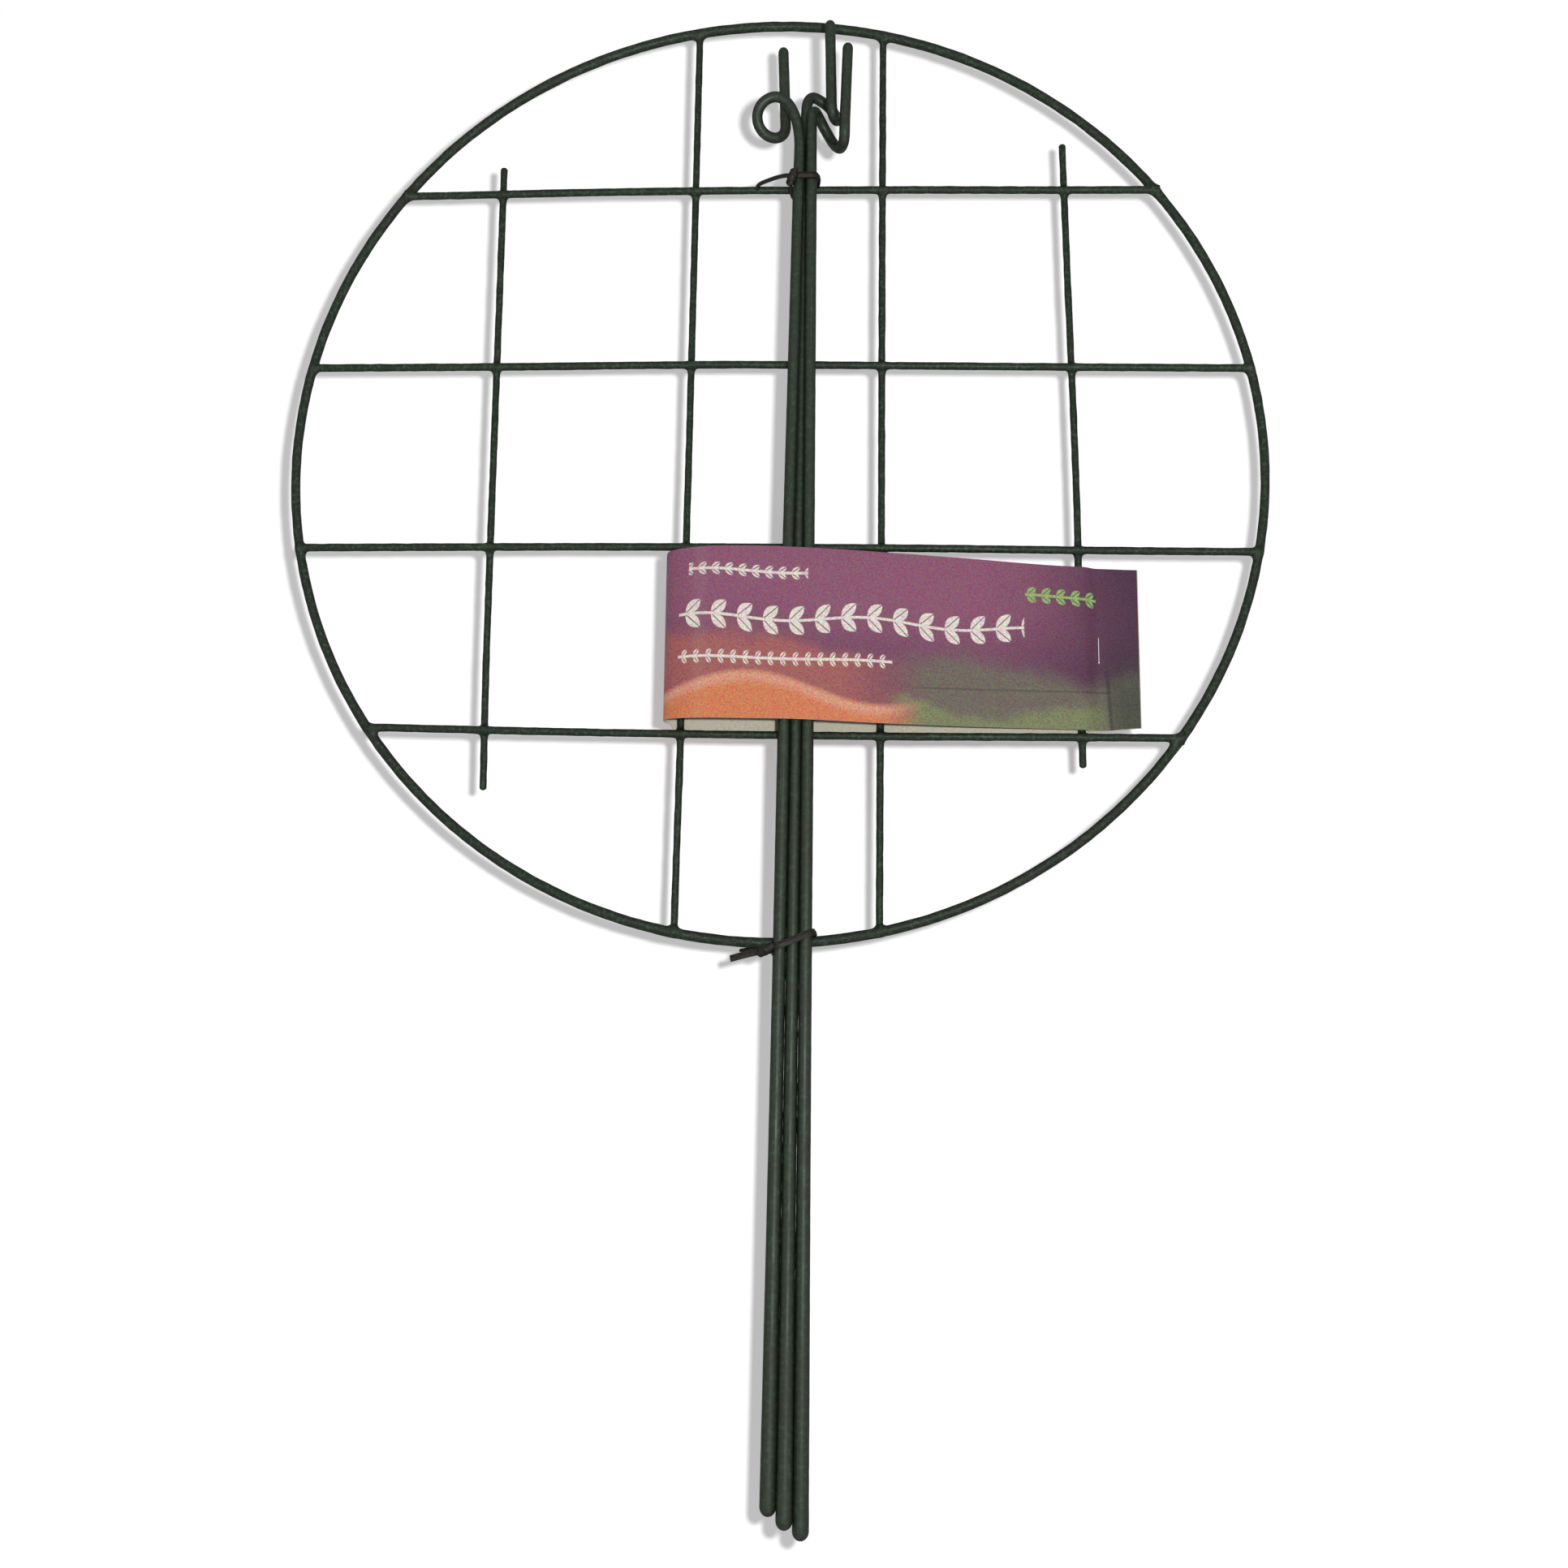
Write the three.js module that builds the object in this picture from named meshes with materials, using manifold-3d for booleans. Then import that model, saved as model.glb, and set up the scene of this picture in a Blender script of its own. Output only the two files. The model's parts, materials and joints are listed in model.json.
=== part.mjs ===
// Grow through plant support, packed flat for sale.
// A round wire grid and three legs with pigtail tops, held together by two twist ties and a card sleeve.
// Millimetres, +Z up, lying face up. +Y points to the pigtails, +X to the stapled end of the sleeve.

import * as THREE from 'three'
import { mergeVertices } from 'three/addons/utils/BufferGeometryUtils.js'
import Module from 'manifold-3d'

const wasm = await Module()
wasm.setup()

// Hoop and grid wires
const hoopDiameter = 406.4
const hoopWire = 3.7
const crossWire = 3.1
const lengthWire = 2.8
const crossPitch = 79.4
const lengthPitch = 80.5
const gridShiftX = 2.5
const gridShiftY = 2.1
const shortWireEndGap = 21.8
const shortSlipLeft = -4.6
const shortSlipRight = 5.5
const longWireLeanDeg = 0.36

// Welds: how far two crossing wires sink into each other, and the fillet of coating around each joint
const weldSink = 0.6
const weldSpread = 2.9
const weldHeight = 1.2
const endWeldSpread = 2.7
const endWeldHeight = 1.7

// Clearances between pieces
const clearance = 0.3
const weldedGap = 0.05

// Leg wire: the coating is thicker towards the foot
const legWire = 4.6
const legFootWire = 5.4

// Bundle of legs, seen from the front: places of the middle leg and spacing of the two outer ones
const bundleX = 8.85
const bundleTopDrift = 1.74
const bundleFootDrift = -2.05
const bendSpacing = 4.55
const topSpacing = 2.62
const footSpacing = 6.1
const bendRise = 2.35
const topRise = 5.2
const footSink = 2
const bendY = -78
const footReachLeft = 415.5
const footReachMiddle = 420
const footReachRight = 423.9

// Pigtail of the left leg
const leftTurnDeg = -9
const leftStart = 138
const leftLeadOut = 10.4
const leftLeadRise = 22.5
const leftLoop = 7.4
const leftEndBend = 5.6
const leftPitch = 10
const leftTip = 35.8
const leftTipLeanDeg = -2.1

// Pigtail of the middle leg
const middleTurnDeg = 131
const middleStart = 156.9
const middleLeadOut = 3
const middleLeadRise = 7.5
const middleLoop = 7.2
const middleEndBend = 3.2
const middlePitch = 14.5
const middleTip = 38.3
const middleTipLeanDeg = -1.2

// Pigtail of the right leg
const rightTurnDeg = 94
const rightStart = 146.7
const rightLeadOut = 1.8
const rightLeadRise = 8.1
const rightLoop = 8.3
const rightEndBend = 5.8
const rightPitch = 14.4
const rightTip = 36.3
const rightTipLeanDeg = 1.9

// Card sleeve
const cardThickness = 0.4
const cardSlack = 0.6
const foldReach = 6.6
const foldTopReach = 14
const foldLow = 5.2
const cardTail = 24.2
const cardBackTop = -43.8
const cardBackBottom = -113.4
const cardCrestTop = -40.7
const cardCrestBottom = -112.1
const cardEndTop = -46.5
const cardEndBottom = -113.4
const tailLift = 1.3
const rampLength = 3.4

// Staple
const stapleCrown = 10.9
const stapleWire = 0.5
const stapleFoot = 3
const stapleOffset = 7.85
const stapleY = -80.8

// Twist ties
const tieWire = 1.5
const topTieOffset = 3
const knotLength = 4.2
const knotTurns = 1.5
const knotTightShare = 0.8
const tailLength = 12.5
const tailDrop = 3.6
const secondTailLength = 7

// Counts
const wireSides = 12
const tieSides = 6
const hoopSegments = 90
const roundSteps = 3
const quarterSteps = 9
const weldSides = 10
const weldRings = 5
const tipRings = 8
const tieSteps = 30
const knotSteps = 9
const tailSteps = 4
const cardRows = 2
const cornerSteps = 3

// Derived sizes
const hoopRadius = (hoopDiameter - hoopWire) / 2
const lengthZ = cardThickness + cardSlack + lengthWire / 2
const crossZ = lengthZ + (lengthWire + crossWire) / 2 - weldSink
const contactZ = lengthZ + (lengthWire - weldSink) / 2
const hoopZ = (lengthZ + crossZ) / 2
const crossTop = crossZ + crossWire / 2
const legRadius = legWire / 2
const legZ = crossTop + clearance + legRadius
const shortWireMiddleX = (3 * lengthPitch) / 2
const shortWireChord = Math.sqrt((hoopRadius - hoopWire / 2) ** 2 - shortWireMiddleX ** 2)
const shortWireLength = 2 * (shortWireChord - shortWireEndGap)
const middleOfPart = (hoopDiameter / 2 - footReachRight) / 2
const longLean = THREE.MathUtils.degToRad(longWireLeanDeg)

// Materials
const coatedSteel = { color: 0x2b3a33, roughness: 0.48, metalness: 0.15 }
const darkPlastic = { color: 0x1d1512, roughness: 0.6, metalness: 0 }
const printedCard = { color: 0x5a3670, roughness: 0.42, metalness: 0 }
const brightSteel = { color: 0xc4c6c8, roughness: 0.3, metalness: 1 }

// Solids: a closed geometry with merged vertices and no empty triangles becomes a manifold solid
function toSolid(geometry, matrix) {
  const plain = geometry.clone()
  if (matrix) {
    plain.applyMatrix4(matrix)
  }
  plain.deleteAttribute('normal')
  plain.deleteAttribute('uv')
  const merged = mergeVertices(plain)
  const source = merged.index.array
  const kept = []
  for (let i = 0; i < source.length; i += 3) {
    const [a, b, c] = [source[i], source[i + 1], source[i + 2]]
    if (a !== b && b !== c && c !== a) {
      kept.push(a, b, c)
    }
  }
  const vertProperties = new Float32Array(merged.attributes.position.array)
  const triVerts = new Uint32Array(kept)
  return new wasm.Manifold(new wasm.Mesh({ numProp: 3, vertProperties, triVerts }))
}

function toGeometry(solid) {
  const mesh = solid.getMesh()
  const geometry = new THREE.BufferGeometry()
  geometry.setAttribute('position', new THREE.BufferAttribute(new Float32Array(mesh.vertProperties), 3))
  geometry.setIndex(new THREE.BufferAttribute(new Uint32Array(mesh.triVerts), 1))
  geometry.computeVertexNormals()
  return geometry
}

function largestOf(solid) {
  const pieces = solid.decompose()
  let best = pieces[0]
  for (const piece of pieces) {
    if (piece.volume() > best.volume()) {
      best = piece
    }
  }
  return best
}

function place(x, y, z) {
  return new THREE.Matrix4().makeTranslation(x, y, z)
}

// A straight wire along Y with rounded ends, from its foot at zero to its top, with its own radius at each end
function rod(length, footRadius, topRadius) {
  const profile = [new THREE.Vector2(0, 0)]
  for (let i = 1; i <= roundSteps; i += 1) {
    const angle = (i / roundSteps) * Math.PI / 2
    profile.push(new THREE.Vector2(footRadius * Math.sin(angle), footRadius * (1 - Math.cos(angle))))
  }
  for (let i = roundSteps; i >= 1; i -= 1) {
    const angle = (i / roundSteps) * Math.PI / 2
    profile.push(new THREE.Vector2(topRadius * Math.sin(angle), length - topRadius * (1 - Math.cos(angle))))
  }
  profile.push(new THREE.Vector2(0, length))
  return new THREE.LatheGeometry(profile, wireSides, Math.PI / wireSides)
}

// A hoop of round wire in the XY plane
function ringOf(radius, wireRadius) {
  const profile = []
  for (let i = 0; i <= wireSides; i += 1) {
    const angle = (i / wireSides) * Math.PI * 2
    profile.push(new THREE.Vector2(radius + wireRadius * Math.cos(angle), wireRadius * Math.sin(angle)))
  }
  const lathe = new THREE.LatheGeometry(profile, hoopSegments)
  lathe.rotateX(Math.PI / 2)
  return lathe
}

// A flattened drop of weld and coating
function drop(spread, height) {
  const ball = new THREE.SphereGeometry(1, weldSides, weldRings)
  ball.scale(spread, spread, height)
  return ball
}

// A path through listed points, one ring of the tube at each point
class WirePath extends THREE.Curve {
  constructor(points) {
    super()
    this.points = points
  }

  getPoint(t) {
    const place = t * (this.points.length - 1)
    const index = Math.min(Math.floor(place), this.points.length - 2)
    return this.points[index].clone().lerp(this.points[index + 1], place - index)
  }

  getPointAt(u) {
    return this.getPoint(u)
  }

  getTangentAt(u) {
    const last = this.points.length - 1
    const index = Math.round(u * last)
    const before = this.points[Math.max(index - 1, 0)]
    const after = this.points[Math.min(index + 1, last)]
    return after.clone().sub(before).normalize()
  }
}

function circleShape(radius, sides) {
  const shape = new THREE.Shape()
  for (let i = 0; i < sides; i += 1) {
    const angle = ((i + 1 / 2) / sides) * Math.PI * 2
    const x = radius * Math.cos(angle)
    const y = radius * Math.sin(angle)
    if (i === 0) {
      shape.moveTo(x, y)
    } else {
      shape.lineTo(x, y)
    }
  }
  shape.closePath()
  return shape
}

function tubeAlong(points, radius, sides) {
  return new THREE.ExtrudeGeometry(circleShape(radius, sides), {
    steps: points.length - 1,
    extrudePath: new WirePath(points),
    curveSegments: 1
  })
}

// Places of the grid wires
const crossYs = [3, 1, -1, -3].map((step) => gridShiftY + (step * crossPitch) / 2)
const [leftShortX, leftLongX, rightLongX, rightShortX] = [-3, -1, 1, 3].map(
  (step) => gridShiftX + (step * lengthPitch) / 2
)

const hoopSolid = toSolid(ringOf(hoopRadius, hoopWire / 2), place(0, 0, hoopZ))
const hoopRoom = toSolid(ringOf(hoopRadius, hoopWire / 2 + weldedGap), place(0, 0, hoopZ))

// Lengthwise wires. The two long ones run to the hoop, the two short ones end free past the outer cross wires.
function lengthwise(x, bottom, top, lean, radius) {
  const wire = rod(top - bottom, radius, radius)
  wire.translate(0, bottom, 0)
  wire.rotateZ(-lean)
  wire.translate(x, 0, lengthZ)
  return wire
}

function longWireEnds(x) {
  return Math.sqrt(hoopRadius * hoopRadius - x * x)
}

function longWire(x, radius) {
  const reach = longWireEnds(x)
  return lengthwise(x, -reach, reach, longLean, radius)
}

function shortWire(x, slip, radius) {
  const bottom = gridShiftY + slip - shortWireLength / 2
  return lengthwise(x, bottom, bottom + shortWireLength, 0, radius)
}

function endWeldOnHoop(x, y, z) {
  const angle = Math.atan2(y, x)
  const inside = hoopRadius - hoopWire / 2
  return toSolid(drop(endWeldSpread, endWeldHeight), place(inside * Math.cos(angle), inside * Math.sin(angle), z))
}

function longSolid(x) {
  const reach = longWireEnds(x)
  const topX = x + reach * Math.tan(longLean)
  const bottomX = x - reach * Math.tan(longLean)
  let solid = toSolid(longWire(x, lengthWire / 2))
  solid = solid.add(endWeldOnHoop(topX, reach, lengthZ))
  solid = solid.add(endWeldOnHoop(bottomX, -reach, lengthZ))
  return largestOf(solid.subtract(hoopRoom))
}

const lengthRoom = [
  toSolid(shortWire(leftShortX, shortSlipLeft, lengthWire / 2 + weldedGap)),
  toSolid(longWire(leftLongX, lengthWire / 2 + weldedGap)),
  toSolid(longWire(rightLongX, lengthWire / 2 + weldedGap)),
  toSolid(shortWire(rightShortX, shortSlipRight, lengthWire / 2 + weldedGap))
]

// Cross wires lie over the lengthwise wires and carry the fillet of coating at each crossing
function crossSolid(y) {
  const reach = Math.sqrt(hoopRadius * hoopRadius - y * y) - hoopWire / 4
  const wire = rod(2 * reach, crossWire / 2, crossWire / 2)
  wire.rotateZ(-Math.PI / 2)
  wire.translate(-reach, y, crossZ)
  let solid = toSolid(wire)
  const lean = y * Math.tan(longLean)
  for (const x of [leftShortX, leftLongX + lean, rightLongX + lean, rightShortX]) {
    solid = solid.add(toSolid(drop(weldSpread, weldHeight), place(x, y, contactZ)))
  }
  solid = solid.add(endWeldOnHoop(-reach, y, crossZ))
  solid = solid.add(endWeldOnHoop(reach, y, crossZ))
  for (const room of lengthRoom) {
    solid = solid.subtract(room)
  }
  return largestOf(solid.subtract(hoopRoom))
}

// One leg: a straight stake with a rounded foot, bent once a little inside the sleeve, and a pigtail on top.
// The pigtail is a full turn of wire: it leads out and up, comes round the loop and rises again as a straight tip.
function legSolid(leg) {
  const bend = new THREE.Vector3(bundleX + leg.side * bendSpacing, bendY, legZ + leg.outer * bendRise)
  const atTie = new THREE.Vector3(
    bundleX + bundleTopDrift + leg.side * topSpacing,
    crossYs[0],
    legZ + leg.outer * topRise
  )
  const foot = new THREE.Vector3(
    bundleX + bundleFootDrift + leg.side * footSpacing,
    -leg.footReach,
    legZ - leg.outer * footSink
  )
  const along = (leg.start - bendY) / (atTie.y - bendY)
  const start = bend.clone().lerp(atTie, along)

  const turn = THREE.MathUtils.degToRad(leg.turnDeg)
  const outward = new THREE.Vector3(-Math.cos(turn), 0, -Math.sin(turn))
  const aside = new THREE.Vector3(Math.sin(turn), 0, -Math.cos(turn))
  const up = new THREE.Vector3(0, 1, 0)
  const points = [bend, start]
  const steps = 4 * quarterSteps
  for (let i = 1; i <= steps; i += 1) {
    const quarter = Math.min(Math.floor(i / quarterSteps), 3)
    const local = ((i - quarter * quarterSteps) / quarterSteps) * Math.PI / 2
    const out = [
      leg.leadOut * (1 - Math.cos(local)),
      leg.leadOut + leg.loop * Math.sin(local),
      leg.leadOut + leg.loop * Math.cos(local),
      leg.leadOut - leg.endBend * Math.sin(local)
    ][quarter]
    const rise = [
      leg.leadRise * Math.sin(local),
      leg.leadRise - leg.loop * (1 - Math.cos(local)),
      leg.leadRise - leg.loop * (1 + Math.sin(local)),
      leg.leadRise - 2 * leg.loop + leg.endBend * (1 - Math.cos(local))
    ][quarter]
    const angle = (i / steps) * Math.PI * 2
    const side = leg.pitch * (angle - Math.sin(angle)) / (Math.PI * 2)
    const point = start.clone()
    point.addScaledVector(outward, out)
    point.addScaledVector(up, rise)
    point.addScaledVector(aside, side)
    points.push(point)
  }
  const lean = THREE.MathUtils.degToRad(leg.tipLeanDeg)
  const tip = points[points.length - 1].clone()
  tip.add(new THREE.Vector3(leg.tip * Math.sin(lean), leg.tip * Math.cos(lean), 0))
  points.push(tip)

  const hook = tubeAlong(points, legRadius, wireSides)
  const ball = new THREE.SphereGeometry(legRadius, wireSides, tipRings)
  const stakeLength = bend.distanceTo(foot) + legRadius
  const stake = rod(stakeLength, legFootWire / 2, legRadius)
  const direction = bend.clone().sub(foot).normalize()
  const aim = new THREE.Matrix4().makeRotationFromQuaternion(
    new THREE.Quaternion().setFromUnitVectors(up, direction)
  )
  aim.setPosition(foot)
  let solid = toSolid(hook)
  solid = solid.add(toSolid(ball, place(tip.x, tip.y, tip.z)))
  solid = solid.add(toSolid(stake, aim))
  return solid
}

const legs = [
  {
    name: 'leg_left',
    side: -1,
    outer: 1,
    footReach: footReachLeft,
    turnDeg: leftTurnDeg,
    start: leftStart,
    leadOut: leftLeadOut,
    leadRise: leftLeadRise,
    loop: leftLoop,
    endBend: leftEndBend,
    pitch: leftPitch,
    tip: leftTip,
    tipLeanDeg: leftTipLeanDeg
  },
  {
    name: 'leg_middle',
    side: 0,
    outer: 0,
    footReach: footReachMiddle,
    turnDeg: middleTurnDeg,
    start: middleStart,
    leadOut: middleLeadOut,
    leadRise: middleLeadRise,
    loop: middleLoop,
    endBend: middleEndBend,
    pitch: middlePitch,
    tip: middleTip,
    tipLeanDeg: middleTipLeanDeg
  },
  {
    name: 'leg_right',
    side: 1,
    outer: 1,
    footReach: footReachRight,
    turnDeg: rightTurnDeg,
    start: rightStart,
    leadOut: rightLeadOut,
    leadRise: rightLeadRise,
    loop: rightLoop,
    endBend: rightEndBend,
    pitch: rightPitch,
    tip: rightTip,
    tipLeanDeg: rightTipLeanDeg
  }
]

// Twist ties: a closed loop of coated wire, its two ends twisted together, and the free tails
function smoothClosed(points, steps) {
  const curve = new THREE.CatmullRomCurve3(points, true, 'centripetal')
  return curve.getSpacedPoints(steps)
}

function closedTube(points, radius) {
  const half = Math.floor(points.length / 2)
  const overlap = 1
  const first = points.slice(0, half + overlap + 1)
  const second = points.slice(half).concat(points.slice(1, overlap + 1))
  return toSolid(tubeAlong(first, radius, tieSides)).add(toSolid(tubeAlong(second, radius, tieSides)))
}

function twistedEnds(origin, direction, across) {
  const third = direction.clone().cross(across).normalize()
  let solid = null
  for (const phase of [0, Math.PI]) {
    const points = []
    for (let i = 0; i <= knotSteps; i += 1) {
      const share = i / knotSteps
      const angle = phase + share * knotTurns * Math.PI * 2
      const point = origin.clone().addScaledVector(direction, share * knotLength)
      point.addScaledVector(across, (tieWire / 2) * knotTightShare * Math.cos(angle))
      point.addScaledVector(third, (tieWire / 2) * knotTightShare * Math.sin(angle))
      points.push(point)
    }
    const strand = toSolid(tubeAlong(points, tieWire / 2, tieSides))
    solid = solid ? solid.add(strand) : strand
  }
  return solid
}

function tail(from, to, dip) {
  const points = []
  for (let i = 0; i <= tailSteps; i += 1) {
    const share = i / tailSteps
    const point = from.clone().lerp(to, share)
    point.z += dip * Math.sin(share * Math.PI)
    points.push(point)
  }
  return toSolid(tubeAlong(points, tieWire / 2, tieSides))
}

// Section of a tie's loop round the legs: points in X and Z, clockwise from low on the left side
function cornerPoints(x, z, radius, from, to) {
  const points = []
  for (let i = 0; i <= cornerSteps; i += 1) {
    const angle = from + ((to - from) * i) / cornerSteps
    points.push(new THREE.Vector2(x + radius * Math.cos(angle), z + radius * Math.sin(angle)))
  }
  return points
}

// Top tie: over the front of the legs just above the first cross wire, and behind that wire to its lower side
function topTie() {
  const off = tieWire / 2 + clearance
  const middleX = bundleX + bundleTopDrift
  const around = legRadius + off
  const [legLeftX, legRightX] = [middleX - topSpacing, middleX + topSpacing]
  const [leftX, rightX] = [legLeftX - around, legRightX + around]
  const shoulder = legZ + topRise
  const above = crossYs[0] + topTieOffset
  const below = crossYs[0] - topTieOffset
  const behind = crossZ - crossWire / 2 - off
  const loop = []
  const add = (point, y) => loop.push(new THREE.Vector3(point.x, y, point.y))
  cornerPoints(legLeftX, shoulder, around, Math.PI, Math.PI / 2).forEach((point) => add(point, above))
  cornerPoints(legRightX, shoulder, around, Math.PI / 2, 0).forEach((point) => add(point, above))
  loop.push(new THREE.Vector3(rightX, above, legZ))
  cornerPoints(rightX - off, behind + off, off, 0, -Math.PI / 2).forEach((point) => add(point, above))
  loop.push(new THREE.Vector3(middleX, crossYs[0], behind))
  cornerPoints(leftX + off, behind + off, off, -Math.PI / 2, -Math.PI).forEach((point) => add(point, below))
  loop.push(new THREE.Vector3(leftX, below, legZ + legRadius))
  let solid = closedTube(smoothClosed(loop, tieSteps), tieWire / 2)
  const knotAt = new THREE.Vector3(leftX, above - tieWire / 2, shoulder)
  const outward = new THREE.Vector3(-1, 0, 0)
  solid = solid.add(twistedEnds(knotAt, outward, new THREE.Vector3(0, 1, 0)))
  const tailFrom = knotAt.clone().addScaledVector(outward, knotLength - tieWire)
  const tailTo = tailFrom.clone().add(new THREE.Vector3(-tailLength, -tailDrop, 0))
  return solid.add(tail(tailFrom, tailTo, tieWire))
}

// Bottom tie: slantwise over the legs, from inside the hoop to outside it, and back behind the hoop
function bottomTie() {
  const off = tieWire / 2 + clearance
  const share = (hoopRadius + bendY) / (footReachMiddle + bendY)
  const radius = legRadius + (legFootWire / 2 - legRadius) * share
  const around = radius + off
  const middleX = bundleX + bundleFootDrift * share
  const spacing = bendSpacing + (footSpacing - bendSpacing) * share
  const rise = bendRise - (bendRise + footSink) * share
  const [legLeftX, legRightX] = [middleX - spacing, middleX + spacing]
  const [leftX, rightX] = [legLeftX - around, legRightX + around]
  const top = legZ + Math.max(rise, 0)
  const hoopBow = hoopRadius - Math.sqrt(hoopRadius * hoopRadius - rightX * rightX)
  const inside = -hoopRadius + hoopWire / 2 + off + hoopBow
  const outside = -hoopRadius - hoopWire / 2 - off
  const behind = hoopZ - hoopWire / 2 - tieWire / 2 - clearance / 2
  const slant = (inside - outside) / (rightX - leftX)
  const loop = []
  const add = (point) => loop.push(new THREE.Vector3(point.x, outside + slant * (point.x - leftX), point.y))
  cornerPoints(legLeftX, top, around, Math.PI, Math.PI / 2).forEach(add)
  add(new THREE.Vector2(middleX, top + around))
  cornerPoints(legRightX, top, around, Math.PI / 2, 0).forEach(add)
  cornerPoints(rightX - off, behind + off, off, 0, -Math.PI / 2).forEach(add)
  add(new THREE.Vector2(middleX, behind))
  cornerPoints(leftX + off, behind + off, off, -Math.PI / 2, -Math.PI).forEach(add)
  let solid = closedTube(smoothClosed(loop, tieSteps), tieWire / 2)
  const knotAt = new THREE.Vector3(leftX, outside, top)
  const outward = new THREE.Vector3(-1, -1 / 4, 0).normalize()
  const across = new THREE.Vector3(1 / 4, -1, 0).normalize()
  solid = solid.add(twistedEnds(knotAt, outward, across))
  const tailFrom = knotAt.clone().addScaledVector(outward, knotLength - tieWire)
  const tailTo = tailFrom.clone().addScaledVector(outward, tailLength)
  const secondTo = tailFrom.clone().add(new THREE.Vector3(-secondTailLength, tieWire, 0))
  solid = solid.add(tail(tailFrom, tailTo, tieWire / 2))
  return solid.add(tail(tailFrom, secondTo, -tieWire / 4))
}

// Card sleeve: one strip of card, wrapped behind the grid, folded round the left long wire and laid over the legs.
// Its two ends lie on each other past the right short wire, where the staple holds them.
function cardLine() {
  const backZ = cardThickness / 2
  const middleY = (cardBackTop + cardBackBottom) / 2
  const wireX = leftLongX + middleY * Math.tan(longLean)
  const foldX = wireX - foldReach
  const foldTopX = wireX + foldTopReach
  const riseShare = (cardCrestTop - bendY) / (crossYs[0] - bendY)
  const rise = bendRise + (topRise - bendRise) * riseShare
  const frontZ = legZ + rise + legRadius + clearance + cardThickness / 2
  const overShort = lengthZ + lengthWire / 2 + clearance + cardThickness / 2
  const legsLeft = bundleX - bendSpacing - legRadius
  const legsRight = bundleX + bendSpacing + legRadius
  const endX = rightShortX + cardTail
  const shortEdge = rightShortX + lengthWire / 2 + clearance
  const stapleX = rightShortX + stapleOffset
  const backLift = cardThickness / 2 + tailLift
  const frontLift = backLift + cardThickness + clearance
  const points = []
  const add = (x, z, frontShare) => points.push({ x, z, frontShare })
  add(endX + cardThickness, backLift, 0)
  add((endX + stapleX) / 2, backLift, 0)
  add(stapleX, backLift, 0)
  add(shortEdge + rampLength, backLift, 0)
  const rampSteps = 4
  for (let i = 1; i < rampSteps; i += 1) {
    const share = i / rampSteps
    const ease = (1 - Math.cos(share * Math.PI)) / 2
    add(shortEdge + rampLength * (1 - share), backLift + (backZ - backLift) * ease, 0)
  }
  add(shortEdge, backZ, 0)
  const backSteps = 10
  for (let i = 1; i < backSteps; i += 1) {
    add(shortEdge + ((wireX - shortEdge) * i) / backSteps, backZ, 0)
  }
  add(wireX, backZ, 0)
  const foldSteps = 8
  for (let i = 0; i <= foldSteps; i += 1) {
    const angle = (i / foldSteps) * Math.PI / 2
    const reach = foldReach - lengthWire / 2 - clearance
    const x = foldX + reach * (1 - Math.sin(angle))
    add(x, backZ + foldLow * (1 - Math.cos(angle)), i / (2 * foldSteps))
  }
  for (let i = 1; i <= foldSteps; i += 1) {
    const angle = (i / foldSteps) * Math.PI / 2
    const x = foldX + (foldTopX - foldX) * (1 - Math.cos(angle))
    add(x, backZ + foldLow + (frontZ - backZ - foldLow) * Math.sin(angle), (foldSteps + i) / (2 * foldSteps))
  }
  add(legsLeft, frontZ, 1)
  add(bundleX, frontZ, 1)
  add(legsRight, frontZ, 1)
  const slopeSteps = 9
  for (let i = 1; i <= slopeSteps; i += 1) {
    const share = i / slopeSteps
    const ease = share - Math.sin(share * Math.PI * 2) / (Math.PI * 6)
    add(legsRight + (shortEdge - legsRight) * share, frontZ + (overShort - frontZ) * ease, 1)
  }
  for (let i = 1; i < rampSteps; i += 1) {
    const share = i / rampSteps
    const ease = (1 - Math.cos(share * Math.PI)) / 2
    add(shortEdge + rampLength * share, overShort + (frontLift - overShort) * ease, 1)
  }
  add(shortEdge + rampLength, frontLift, 1)
  add(stapleX, frontLift, 1)
  add((endX + stapleX) / 2, frontLift, 1)
  add(endX, frontLift, 1)
  return points
}

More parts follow.
